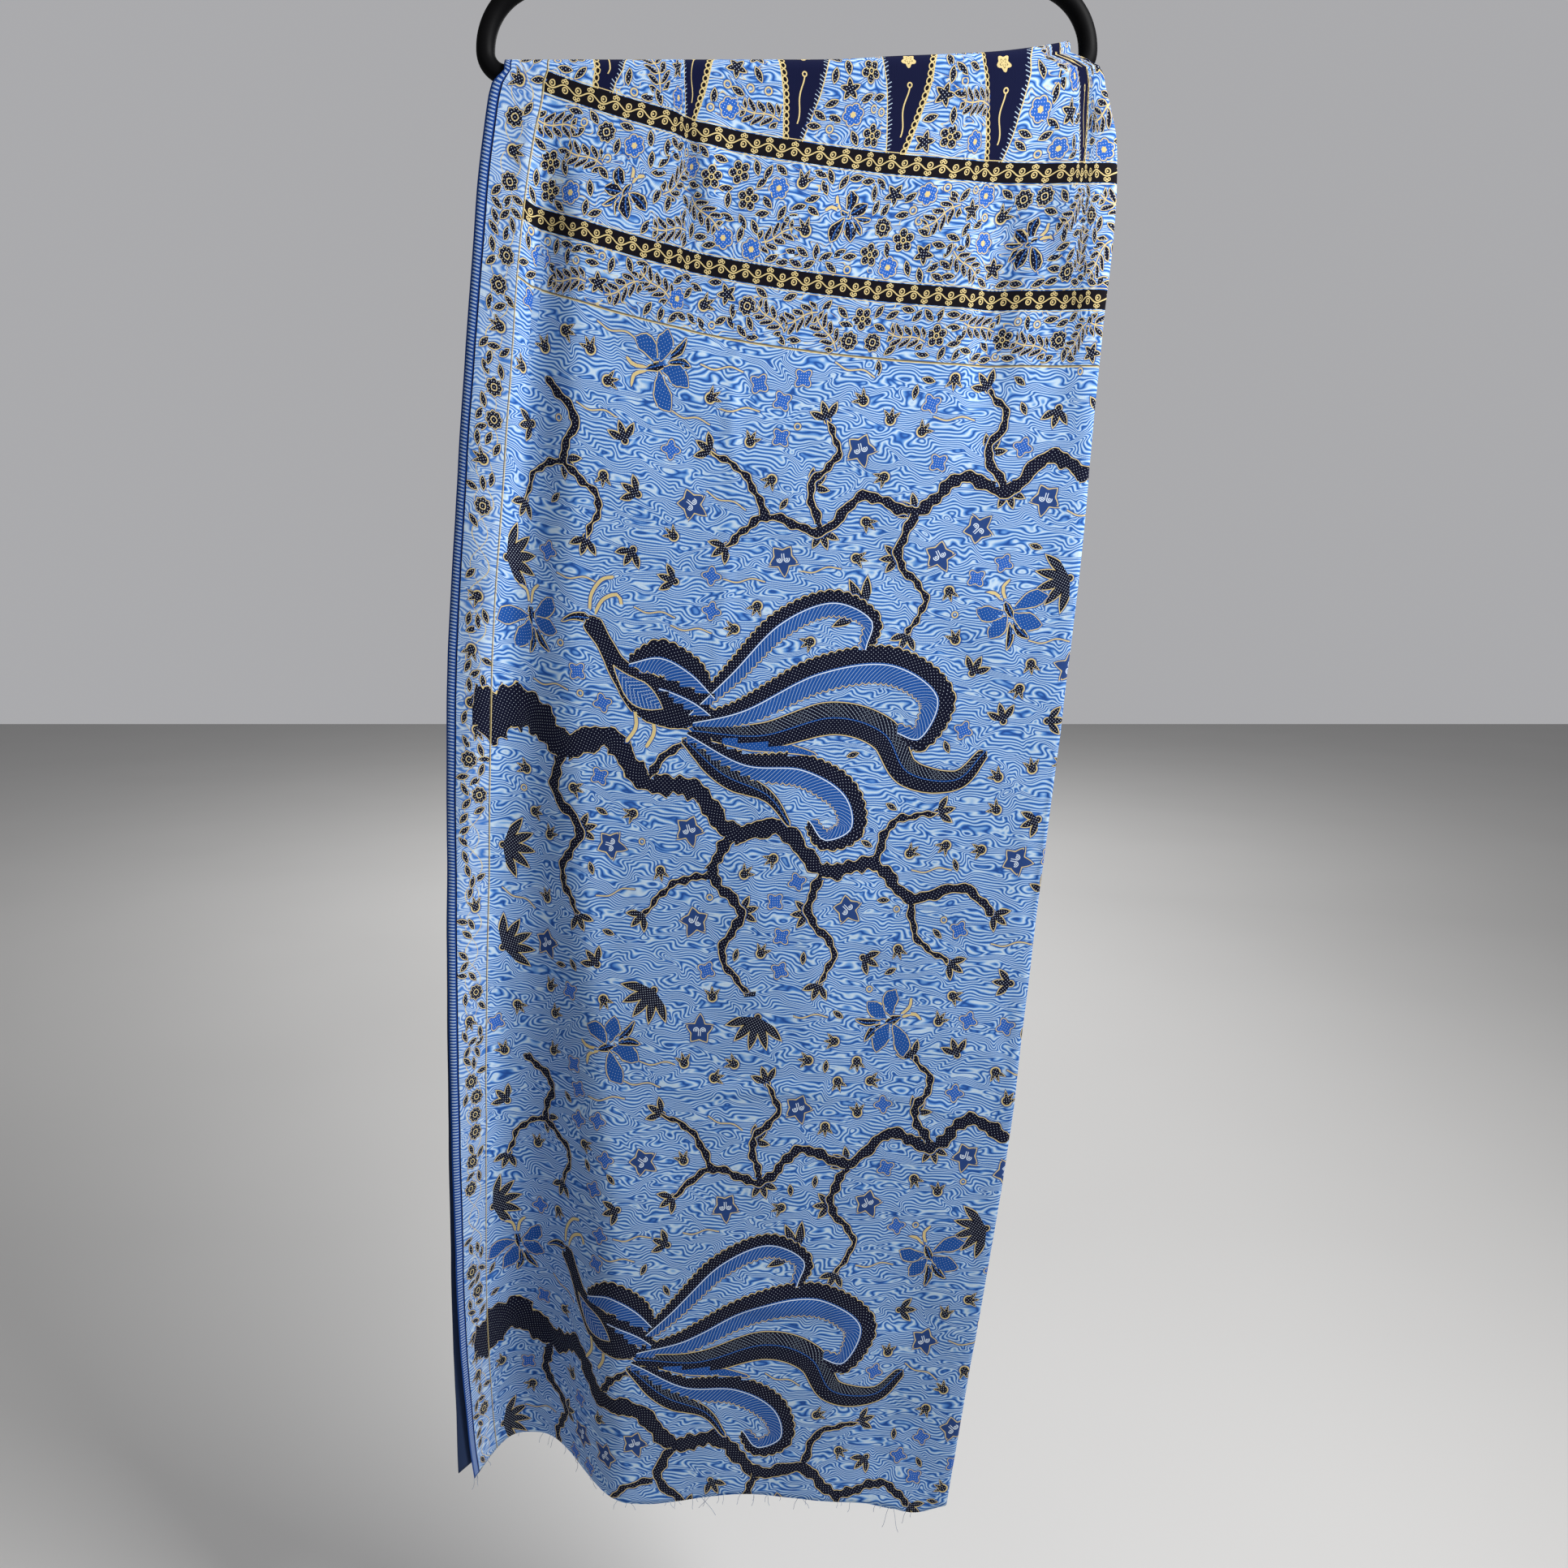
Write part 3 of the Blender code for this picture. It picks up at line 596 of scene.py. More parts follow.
def print_strokes():
    """All drawn strokes: the branches, and the birds and butterflies that lie over them."""
    wood, figures = [], []
    for start in BODY_STARTS:
        for widths, points in BRANCHES:
            wood.append(Stroke(0, widths, [(u, v + start) for u, v in points], BRANCH_KNOTS))
        drawn = moved(BIRD, BIRD_AT[0], BIRD_AT[1] + start)
        for u, v, turn, flip in BUTTERFLIES:
            drawn += moved(BUTTERFLY, u, v + start, math.radians(turn), flip)
        figures += [Stroke(*stroke) for stroke in drawn]
    for u, v, turn, flip in BAND_BUTTERFLIES:
        drawn = moved(BUTTERFLY, u, v, math.radians(turn), flip, BAND_BUTTERFLY_SIZE)
        figures += [Stroke(DARK_LEAF if kind == DOTTED_WING else kind, *rest) for kind, *rest in drawn]
    return wood, figures


def other_half(strokes):
    """The strokes that show below the back hem, turned over on to the inner layer's half of the cloth."""
    turned = [copy.copy(stroke) for stroke in strokes if stroke.points[:, 1].min() > INNER_SHOWS_FROM]
    for stroke in turned:
        stroke.points = stroke.points * (-1, 1) + (CLOTH_WIDTH, 0)
        stroke.tangent = stroke.tangent * (-1, 1)
    return turned


def twig_leaves():
    """Fans of leaves: one grows out of each branch's tip, and others to either side of the thin branches."""
    fans = []
    for widths, points in BRANCHES:
        last = len(points) - 1
        for i in range(last, 0, -2 if max(widths) < TWIG_WIDEST else -last):
            (u, v), (du, dv) = points[i], [b - a for a, b in zip(points[i - 1], points[i])]
            side = 0 if i == last else TWIG_LEAN * (-1) ** (i // 2)
            fans.append((LEAF_FAN, u, v, math.degrees(math.atan2(du, -dv)) + side))
    return fans


# Scattered filling, the larger motifs first: region, its span along the warp from the kepala's middle, gap
# between motifs in metres, darts thrown, motifs with their shares
FILLINGS = (
    ("triangles", (0.02, 0.165), 0.0004, 4000,
     ((SPRAY, 0.35), (ROSETTE, 0.25), (STAR, 0.20), (BLOSSOM, 0.20))),
    ("triangles", (0.02, 0.165), 0.0001, 6000, ((LEAF, 0.75), (BUD, 0.12), (CURL, 0.13))),
    ("bands", (0.178, 0.305), 0.0002, 5000,
     ((SPRAY, 0.66), (ROSETTE, 0.10), (BLOSSOM, 0.07), (STAR, 0.05), (ROUND_FLOWER, 0.06), (BUD, 0.06))),
    ("bands", (0.178, 0.305), 0.0, 18000, ((LEAF, 0.94), (CURL, 0.06))),
    ("strip", (0.00, 1.60), 0.0002, 4000, ((SPRAY, 0.72), (ROUND_FLOWER, 0.10), (BUD, 0.18))),
    ("strip", (0.00, 1.60), 0.0001, 8000, ((LEAF, 1.00),)),
    ("body", (0.305, 1.60), 0.0030, 5000,
     ((LEAF_FAN, 0.42), (TRI_LEAF, 0.12), (SQUARE_FLOWER, 0.20), (BUD, 0.26))),
    ("body", (0.305, 1.60), 0.0030, 9000,
     ((BUD, 0.40), (SQUARE_FLOWER, 0.14), (WISP, 0.36), (CURL, 0.04), (LEAF, 0.08))),
)


def region_allows(region, u, v, reach):
    """Whether a motif of this reach fits at (u, v) in a region of the print."""
    away = abs(v - KEPALA_MIDDLE)
    edge = reach + 0.0006
    if region == "strip":
        return SELVAGE + 0.001 + edge < u < STRIP - edge
    if u < STRIP + edge:
        return False
    first, second, line = (place - KEPALA_MIDDLE for place in (0.0, SECOND_BAND, BODY_LINE))
    if region == "triangles":
        across = abs((u / TRIANGLE_PITCH) % 1 - 0.5) * TRIANGLE_PITCH
        return away < first - BAND_HALF - edge and across < away * TRIANGLE_SLOPE - edge
    if region == "bands":
        lower = first + BAND_HALF + edge < away < second - BAND_HALF - edge
        return lower or second + BAND_HALF + edge < away < line - edge
    return away > line + edge


def scatter_motifs(placed, strokes):
    """Darts thrown on the cloth. Each keeps clear of the strokes, the placed motifs and the others."""
    rng = np.random.default_rng(PRINT_SEED)
    step_points = np.concatenate([stroke.points for stroke in strokes])
    step_reach = np.concatenate([stroke.half_width for stroke in strokes])
    motifs = list(placed)
    taken = np.array([(u, v, MOTIFS[kind][0] / 1000) for kind, u, v, _ in placed])
    for region, span, gap, darts, choices in FILLINGS:
        kinds = [kind for kind, _ in choices]
        shares = np.array([share for _, share in choices])
        picks = rng.choice(kinds, darts, p=shares / shares.sum())
        width = STRIP if region == "strip" else LAYER_CLOTH + ROUND_CLOTH
        away = rng.uniform(*span, darts) * rng.choice((-1, 1), darts)
        for kind, u, v, turn in zip(picks, rng.uniform(0, width, darts), KEPALA_MIDDLE + away,
                                    rng.uniform(0, 360, darts)):
            half_length, half_width = (size / 1000 for size in MOTIFS[kind])
            if kind == WISP:
                turn = rng.normal(0, 9)
            if region == "strip" and kind in (SPRAY, LEAF):
                turn = 90 + rng.normal(0, 14 if kind == SPRAY else 40)
            tall = abs(math.sin(math.radians(turn)))
            reach = half_width + (half_length - half_width) * (0.45 if kind in (LEAF, SPRAY, WISP) else 1)
            if not region_allows(region, u, v, half_width + (half_length - half_width) * tall):
                continue
            gaps = np.hypot(taken[:, 0] - u, taken[:, 1] - v)
            if (gaps < taken[:, 2] + reach + gap).any():
                continue
            if region in ("body", "bands"):
                gaps = np.hypot(step_points[:, 0] - u, step_points[:, 1] - v)
                if (gaps < step_reach + reach + STROKE_CLEARANCE).any():
                    continue
            motifs.append((int(kind), u, v, turn))
            taken = np.vstack([taken, (u, v, reach)])
    return motifs


def lay_motifs(face_uv, corner_uv, corner_face, motifs):
    """Corner values for the motifs: place in the motif in millimetres, and the motif's number."""
    best = np.full(len(face_uv), MOTIF_MARGIN)
    owner = np.full(len(face_uv), -1)
    for index, (kind, u, v, turn) in enumerate(motifs):
        half_length, half_width = (size / 1000 for size in MOTIFS[kind])
        reach = half_length + 0.006
        close = np.flatnonzero((np.abs(face_uv[:, 0] - u) < reach) & (np.abs(face_uv[:, 1] - v) < reach))
        if not len(close):
            continue
        c, s = math.cos(math.radians(turn)), math.sin(math.radians(turn))
        x = (face_uv[close, 0] - u) * c + (face_uv[close, 1] - v) * s
        y = (face_uv[close, 1] - v) * c - (face_uv[close, 0] - u) * s
        if half_length == half_width:
            outside = np.hypot(x, y) - half_length
        else:
            outside = np.maximum(np.abs(x) - half_length, np.abs(y) - half_width)
        outside = outside - OUTLINE_INK / 1000
        won = outside < best[close]
        best[close[won]] = outside[won]
        owner[close[won]] = index
    table = np.array([(kind, u, v, math.radians(turn)) for kind, u, v, turn in motifs])
    values = np.zeros((len(corner_uv), 3), dtype=np.float32)
    held = owner[corner_face] >= 0
    kind, u, v, turn = table[owner[corner_face][held]].T
    du, dv = corner_uv[held, 0] - u, corner_uv[held, 1] - v
    values[held, 0] = (du * np.cos(turn) + dv * np.sin(turn)) * 1000
    values[held, 1] = (du * np.sin(turn) - dv * np.cos(turn)) * 1000
    values[held, 2] = kind
    return values


def lay_strokes(face_uv, corner_uv, corner_face, strokes):
    """Corner values for the strokes, in millimetres: along, across and half width, and each one's kind."""
    best = np.full(len(face_uv), STROKE_MARGIN)
    owner = np.full(len(face_uv), -1)
    for index, stroke in enumerate(strokes):
        low, high = stroke.points.min(0) - 0.02, stroke.points.max(0) + 0.02
        close = np.flatnonzero(((face_uv > low) & (face_uv < high)).all(1))
        if not len(close):
            continue
        _, across, half_width = stroke.measure(face_uv[close])
        nearest = np.sqrt(((face_uv[close][:, None] - stroke.points[None]) ** 2).sum(-1).min(1))
        outside = np.maximum(np.abs(across), nearest * 0.999) - half_width
        won = outside < best[close]
        best[close[won]] = outside[won]
        owner[close[won]] = index
    values = np.zeros((len(corner_uv), 3), dtype=np.float32)
    values[:, 1] = FAR_OFF
    kinds = np.zeros(len(corner_uv), dtype=np.float32)
    corner_owner = owner[corner_face]
    for index, stroke in enumerate(strokes):
        corners = np.flatnonzero(corner_owner == index)
        if len(corners):
            values[corners] = np.stack(stroke.measure(corner_uv[corners]), axis=-1) * 1000
            kinds[corners] = stroke.kind
    return values, kinds


def set_values(mesh, name, kind, field, values):
    """Puts values on the mesh's corners under a name."""
    flat = np.ascontiguousarray(values, dtype=np.float32).ravel()
    mesh.attributes.new(name, kind, "CORNER").data.foreach_set(field, flat)


def link(piece):
    """Puts a piece in the scene."""
    bpy.context.scene.collection.objects.link(piece)
    return piece


def mesh_of(piece, **options):
    """Mesh of a piece as its modifiers or its curve's settings make it."""
    graph = bpy.context.evaluated_depsgraph_get()
    return bpy.data.meshes.new_from_object(piece.evaluated_get(graph), depsgraph=graph, **options)


def grid_mesh(name, points, outward):
    """A grid of quads moved onto rows of points. outward tells which way the first layer faces."""
    rows, columns = points.shape[:2]
    bm = bmesh.new()
    bmesh.ops.create_grid(bm, x_segments=columns - 1, y_segments=rows - 1, size=1.0)
    if outward < 0:
        bmesh.ops.reverse_faces(bm, faces=bm.faces)
    mesh = bpy.data.meshes.new(name)
    bm.to_mesh(mesh)
    bm.free()
    flat = np.empty(len(mesh.vertices) * 3, dtype=np.float32)
    mesh.vertices.foreach_get("co", flat)
    column = np.rint((flat[0::3] + 1) / 2 * (columns - 1)).astype(int)
    row = np.rint((flat[1::3] + 1) / 2 * (rows - 1)).astype(int)
    mesh.vertices.foreach_set("co", points[row, column].astype(np.float32).ravel())
    mesh.update()
    return mesh, row, column


def make_cloth(name, fall, materials, motifs, wood, figures):
    """The fall's shell with its print laid on, thickened to the cloth, with a sheet of its own for baking."""
    points, v = fall.lattice()
    mesh, row, column = grid_mesh(name, points, fall.side)
    corner_vertex = np.empty(len(mesh.loops), dtype=np.int32)
    mesh.loops.foreach_get("vertex_index", corner_vertex)
    u = np.broadcast_to(fall.u, v.shape)
    corner_uv = np.stack([u[row, column][corner_vertex], v[row, column][corner_vertex]], axis=-1)
    corner_face = np.repeat(np.arange(len(mesh.polygons)), 4)
    face_uv = corner_uv.reshape(-1, 4, 2).mean(1)
    set_values(mesh, "Cloth", "FLOAT2", "vector", corner_uv)
    set_values(mesh, "motif", "FLOAT_VECTOR", "vector", lay_motifs(face_uv, corner_uv, corner_face, motifs))
    branch_values, _ = lay_strokes(face_uv, corner_uv, corner_face, wood)
    set_values(mesh, "branch", "FLOAT_VECTOR", "vector", branch_values)
    figure_values, figure_kinds = lay_strokes(face_uv, corner_uv, corner_face, figures)
    set_values(mesh, "figure", "FLOAT_VECTOR", "vector", figure_values)
    set_values(mesh, "figure_kind", "FLOAT", "value", figure_kinds)
    mesh.shade_smooth()
    piece = link(bpy.data.objects.new(name, mesh))
    for material in materials:
        mesh.materials.append(material)
    shell = piece.modifiers.new("Shell", "SOLIDIFY")
    shell.thickness = SHELL
    shell.offset = 0.0
    shell.material_offset = 1
    shell.material_offset_rim = 1
    piece.data = mesh_of(piece, preserve_all_data_layers=True)
    piece.modifiers.clear()
    bpy.data.meshes.remove(mesh)
    add_bake_map(piece.data)
    return piece


def add_bake_map(mesh):
    """Bake map: the right side, with the hidden layer narrow, and the wrong side in a strip of its own."""
    uv = np.empty(len(mesh.loops) * 2, dtype=np.float32)
    mesh.attributes["Cloth"].data.foreach_get("vector", uv)
    uv = uv.reshape(-1, 2)
    material = np.empty(len(mesh.polygons), dtype=np.int32)
    mesh.polygons.foreach_get("material_index", material)
    sides = np.empty(len(mesh.polygons), dtype=np.int32)
    mesh.polygons.foreach_get("loop_total", sides)
    wrong = np.repeat(material, sides) == 1
    low, high = uv[:, 1].min(), uv[:, 1].max()
    turn_u = LAYER_CLOTH + ROUND_CLOTH
    right_x = np.interp(uv[:, 0], (0, turn_u, CLOTH_WIDTH), (0.01, 0.70, 0.84))
    wrong_x = np.interp(uv[:, 0], (0, CLOTH_WIDTH), (0.86, 0.99))
    up = 0.01 + 0.98 * (uv[:, 1] - low) / (high - low)
    baked = np.stack([np.where(wrong, wrong_x, right_x), up], axis=-1)
    mesh.uv_layers.new(name="OFBake").data.foreach_set("uv", baked.astype(np.float32).ravel())


# Colours of the print, sRGB
PALE_BLUE = "C4D9EC"
LIGHT_BLUE = "7BA9DF"
GROUND_BLUE = "3E76C4"
LINE_BLUE = "26509A"
FLOWER_BLUE = "2A62BC"
PLUME_BLUE = "1E529F"
MID_BLUE = "1B4796"
SLATE_BLUE = "2A4680"
NAVY = "0D1026"
DEEP_NAVY = "0D1233"
BLACK_BROWN = "100D14"
GOLD = "D9C48A"
BROWN_LINE = "6F6547"
WHITE_DOT = "DCE9F7"
WRONG_SIDE = "5F7FB0"


def linear(colour):
    """sRGB hex to linear red, green, blue and alpha."""
    parts = [int(colour[i : i + 2], 16) / 255 for i in (0, 2, 4)]
    return tuple(c / 12.92 if c <= 0.04045 else ((c + 0.055) / 1.055) ** 2.4 for c in parts) + (1.0,)


class Field:
    """A node's output that works in sums, so that a pattern reads like its formula."""

    def __init__(self, tree, socket):
        self.tree, self.socket = tree, socket

    def do(self, operation, *others):
        return add(self.tree, "Math", self, *others, operation=operation)

    def __add__(self, other):
        return self.do("ADD", other)

    def __sub__(self, other):
        return self.do("SUBTRACT", other)

    def __mul__(self, other):
        return self.do("MULTIPLY", other)

    def __truediv__(self, other):
        return self.do("DIVIDE", other)

    def __lt__(self, other):
        return self.do("LESS_THAN", other)

    def __gt__(self, other):
        return self.do("GREATER_THAN", other)

    def __abs__(self):
        return self.do("ABSOLUTE")


def add(tree, kind, *inputs, out=0, **settings):
    """Adds a node. Settings in capitals are its inputs by name; the rest are its properties."""
    node = tree.nodes.new("ShaderNode" + kind)
    for name, value in settings.items():
        if not name[0].isupper():
            setattr(node, name, value)
    named = [(node.inputs[name.replace("_", " ")], v) for name, v in settings.items() if name[0].isupper()]
    for socket, value in named + list(zip(node.inputs, inputs)):
        if isinstance(value, Field):
            tree.links.new(value.socket, socket)
        else:
            socket.default_value = linear(value) if isinstance(value, str) else value
    return Field(tree, node.outputs[out])


def feed(shader, **inputs):
    """Puts fields or plain values in a shader's inputs, by name."""
    for name, value in inputs.items():
        socket = shader.inputs[name.replace("_", " ")]
        if isinstance(value, Field):
            value.tree.links.new(value.socket, socket)
        else:
            socket.default_value = value


def new_material(name):
    """A material, its tree of nodes and its shader."""
    material = bpy.data.materials.new(name)
    material.use_nodes = True
    return material, material.node_tree, material.node_tree.nodes["Principled BSDF"]


def axes_of(vector, count=3):
    """A vector's values, one by one."""
    parts = add(vector.tree, "SeparateXYZ", vector)
    return [Field(vector.tree, parts.socket.node.outputs[i]) for i in range(count)]


def noise(tree, vector, scale, detail, stretch=None, **settings):
    """Smooth noise. stretch is its scale along each axis."""
    if stretch:
        vector = add(tree, "Mapping", vector, Scale=stretch)
    return add(tree, "TexNoise", Vector=vector, Scale=scale, Detail=detail, **settings)


def length_of(x, y):
    return (x * x + y * y).do("SQRT")


def near(value, middle, half):
    """1 where a value lies within half of the middle."""
    return abs(value - middle) < half


def repeat(value, pitch):
    """Distance from the middle of each repeat, signed."""
    return value.do("FLOORED_MODULO", pitch) - pitch / 2


def petal_share(angle, count):
    """0 at the middle of each of the petals round a circle, 1 halfway to the next."""
    return (angle * (count / (2 * math.pi))).do("PINGPONG", 0.5) * 2


class Ink:
    """The colour of the print as it is built up, one pass over the other."""

    def __init__(self, tree, colour):
        self.tree, self.colour = tree, colour

    def lay(self, colour, where):
        self.colour = add(self.tree, "MixRGB", where, self.colour, colour)


def fan_edge(reach, angle, count, length, curve, spread):
    """Distance outside a fan of pointed leaves that grow from one heel, count of them to a full circle."""
    turn = petal_share(angle, count) * (math.pi / count)
    along = reach * turn.do("COSINE")
    leaf = reach * turn.do("SINE") - along * (along * -1 + length) * curve
    return (leaf + (abs(angle) > spread) * 40).do("MINIMUM", reach - 2.4) * 0.85


def motif_edges(x, y):
    """Distance outside each motif in millimetres, below 0 inside it."""
    reach = length_of(x, y)
    angle = x.do("ARCTAN2", y)
    lobes = petal_share(angle, 5)
    upper = abs(angle) < 1.18
    crown = (petal_share(angle, 8) * -1 + 1).do("POWER", 1.4) * 5.4 * upper + 3.4
    tri = (petal_share(angle, 5) * -1 + 1).do("POWER", 1.6) * (upper * 3.2 + 4.2) + 7.4
    petal_turn = petal_share(angle, 6) * (math.pi / 6)
    petal = length_of(reach * petal_turn.do("COSINE") - 4.6, reach * petal_turn.do("SINE"))
    stem = y - (x * 0.21).do("SINE") * 1.3
    slant = (x + abs(stem) * 0.9).do("FLOORED_MODULO", 7.0) - 3.5
    leaflet = abs(slant) - ((abs(stem) - 4.5) * (abs(stem) - 4.5) * -0.17 + 2.2)
    spray = leaflet.do("MAXIMUM", abs(x) - 14).do("MINIMUM", (abs(stem) + 0.2).do("MAXIMUM", abs(x) - 15))
    wave = (x * 0.24).do("SINE") * 1.5
    return {
        BUD: (reach - crown) * 0.6,
        LEAF_FAN: fan_edge(reach, angle, 7.8, 15.4, 0.043, 1.2),
        GREAT_FAN: fan_edge(reach, angle, 12.0, 29.5, 0.017, 1.3),
        ROSETTE: (reach - (lobes * lobes * -3.2 + 7.6)) * 0.85,
        SQUARE_FLOWER: (reach - ((angle * 4).do("COSINE") * 1.7 + 6.0)) * 0.85,
        TRI_LEAF: (reach - tri) * 0.65,
        STAR: (reach - ((lobes * -1 + 1).do("POWER", 1.2) * 4.2 + 3.0)) * 0.7,
        LEAF: abs(y) - (x * x * -0.075 + 2.0),
        WISP: (abs(y - wave) + 0.12).do("MAXIMUM", abs(x) - 17),
        CURL: abs(reach - 2.4) + 0.15,
        BLOSSOM: petal - 2.7,
        ROUND_FLOWER: reach - ((angle * 8).do("COSINE") * 0.6 + 6.0),
        SPRAY: spray,
    }


def small_dots(x, y, pitch, size):
    """Staggered dots."""
    one = length_of(repeat(x, pitch), repeat(y, pitch)) < size
    other = length_of(repeat(x + pitch / 2, pitch), repeat(y + pitch / 2, pitch)) < size
    return one.do("MAXIMUM", other)


def print_motifs(ink, tree):
    """Placed and scattered motifs, with a gold line and a blue one round each."""
    x, y, kind = axes_of(add(tree, "Attribute", attribute_name="motif", out=1))
    edge = kind * 0 + FAR_OFF
    is_kind = {}
    for number, outside in motif_edges(x, y).items():
        is_kind[number] = kind.do("COMPARE", number, 0.3)
        edge = edge + is_kind[number] * (outside - FAR_OFF)
    inside = edge < 0
    blue = is_kind[SQUARE_FLOWER] + is_kind[BLOSSOM]
    ink.lay(LINE_BLUE, near(edge, 1.1, 0.4) * 0.8)
    ink.lay(GOLD, (edge > 0) * (edge < 0.7))
    ink.lay(NAVY, inside)
    ink.lay(FLOWER_BLUE, inside * blue)
    ink.lay(SLATE_BLUE, inside * is_kind[TRI_LEAF])
    reach, angle = length_of(x, y), x.do("ARCTAN2", y)
    dots = small_dots(x, y, 2.9, 0.34) * (edge < -0.4) * (is_kind[TRI_LEAF] * -1 + 1)
    ink.lay(WHITE_DOT, dots * 0.7)
    veins = (petal_share(angle, 5) > 0.86) * (reach > 2.2) + near(reach, 1.9, 0.4)
    ink.lay(GOLD, veins * is_kind[ROSETTE] * inside)
    ink.lay(GOLD, (reach < 1.7) * is_kind[BLOSSOM] + near(reach, 2.4, 0.35) * is_kind[ROUND_FLOWER])
    whorl = length_of(abs(x) - 3.0, y - 0.5)
    rings = near(whorl, 2.2, 0.4) * (y > -0.6) + near(whorl, 0.9, 0.35)
    stalk = near(abs(x), 0.9, 0.35) * near(y, -2.6, 2.0)
    ink.lay(WHITE_DOT, (rings + stalk) * is_kind[TRI_LEAF])


def print_strokes_on(ink, tree):
    """Branches, then the birds and butterflies over them."""
    along, across, half = axes_of(add(tree, "Attribute", attribute_name="branch", out=1))
    edge = abs(across + (along * 0.31).do("SINE") * 0.8) - half - (along * 0.55).do("SINE") * 0.6
    ink.lay(LINE_BLUE, near(edge, 1.2, 0.4))
    ink.lay(GOLD, (edge > -0.05) * (edge < 0.75))
    ink.lay(NAVY, edge < 0)
    ink.lay(WHITE_DOT, small_dots(along, across, 3.5, 0.28) * (edge < -0.8) * 0.65)
    along, across, half = axes_of(add(tree, "Attribute", attribute_name="figure", out=1))
    kind = add(tree, "Attribute", attribute_name="figure_kind", out=2)
    kinds = (FEATHER, WINGED_BODY, DOTTED_WING, DARK_LEAF, GOLD_LINE)
    feather, body, wing, dark_leaf, line = (kind.do("COMPARE", number, 0.3) for number in kinds)
    scallop = abs((along * 0.5).do("SINE")) * 1.9 * feather
    edge = abs(across) - half - scallop
    inside = edge < 0
    ink.lay(LINE_BLUE, near(edge, 1.2, 0.4))
    ink.lay(GOLD, (edge > -0.05) * (edge < 0.85))
    ink.lay(NAVY, inside)
    ink.lay(PLUME_BLUE, inside * (wing + feather * (across > half * -0.1)))
    barbs = (repeat(along + abs(across) * 1.1, 4.0) > 1.5) * (edge < -0.8)
    ink.lay(PALE_BLUE, barbs * (feather * (across > 1.0) + dark_leaf * (across < -1.4) * 0.6) * 0.75)
    ink.lay(PLUME_BLUE, inside * dark_leaf * near(across, -0.4, 0.5))
    ink.lay(WHITE_DOT, inside * feather * near(across, 0.0, 0.45))
    wing_half = ((along - 56) * (along - 56) * -0.0014 + 1) * half * 0.6
    wing_edge = abs(across + 2.5) - wing_half
    ink.lay(PLUME_BLUE, inside * body * (wing_edge < 0))
    ink.lay(GOLD, inside * body * near(wing_edge, 0.0, 0.45) * near(along, 56.0, 27.0))
    wing_barbs = repeat(along + abs(across + 2.5), 4.2) > 1.4
    ink.lay(PALE_BLUE, inside * body * (wing_edge < -1.2) * wing_barbs * 0.8)
    dots = small_dots(along, across, 3.5, 0.28) * (edge < -0.7) * (feather * (across > half * -0.1) * -1 + 1)
    ink.lay(WHITE_DOT, dots * 0.7)
    ink.lay(GOLD, inside * line)


def print_kepala(ink, u, away):
    """Navy head panel with its rows of light triangles, in millimetres."""
    pitch = TRIANGLE_PITCH * 1000
    first = -KEPALA_MIDDLE * 1000
    across = repeat(u, pitch)
    gap_side = repeat(u + pitch / 2, pitch)
    edge = abs(across) - away * TRIANGLE_SLOPE
    chained = (u / (2 * pitch)).do("FRACT") < 0.5
    here = away < first
    ink.lay(DEEP_NAVY, here * (edge > 0))
    chain = near(length_of(repeat(away, 4.6) * 0.85, edge - 2.3), 1.7, 0.38)
    ink.lay(BLACK_BROWN, here * chained * (edge > 0) * (edge < 4.0))
    ink.lay(GOLD, here * chained * chain)
    tick_ends = (away * 1.9).do("SINE") + 3.2
    ticks = (repeat(away + edge * 0.5, 2.6) > 0.7) * (edge > 0.4) * (edge < tick_ends)
    ink.lay(PALE_BLUE, here * (chained * -1 + 1) * ticks * 0.8)
    ink.lay(GOLD, here * near(edge, 0.1, 0.42))
    stem = near(gap_side - (away * 0.22).do("SINE") * 1.2, 0.0, 0.5) * near(away, first - 34, 16.0)
    head = near(length_of(gap_side - 1.0, away - (first - 51)), 1.5, 0.45)
    ink.lay(GOLD, stem + head)
    flower = away - (first - 67)
    petals = length_of(gap_side, flower) - (gap_side.do("ARCTAN2", flower) * 5).do("COSINE") * 0.9
    ink.lay(GOLD, petals < 4.6)
    ink.lay(BROWN_LINE, near(petals, 2.0, 0.3))


def print_band(ink, u, offset):
    """Dark band with a running gold scroll. offset is the distance from its middle in millimetres."""
    pitch = 19.5
    half = BAND_HALF * 1000
    swing = (u * (2 * math.pi / pitch)).do("SINE")
    out = offset * swing.do("SIGN")
    along = repeat(u, pitch / 2)
    ink.lay(GOLD, near(abs(offset), half + 0.9, 0.3))
    ink.lay(BLACK_BROWN, abs(offset) < half)
    wave = near(offset, swing * 2.1, 0.5)
    curl = near(length_of(along - 0.6, out + 1.2), 1.9, 0.4) + (length_of(along - 0.2, out + 1.2) < 0.7)
    side_lobes = near(length_of(abs(along) - 1.5, out - 4.2), 0.9, 0.35)
    lobes = side_lobes + near(length_of(along, out - 5.2), 0.8, 0.35)
    ink.lay(GOLD, (wave + curl + lobes) * (abs(offset) < half - 0.5))


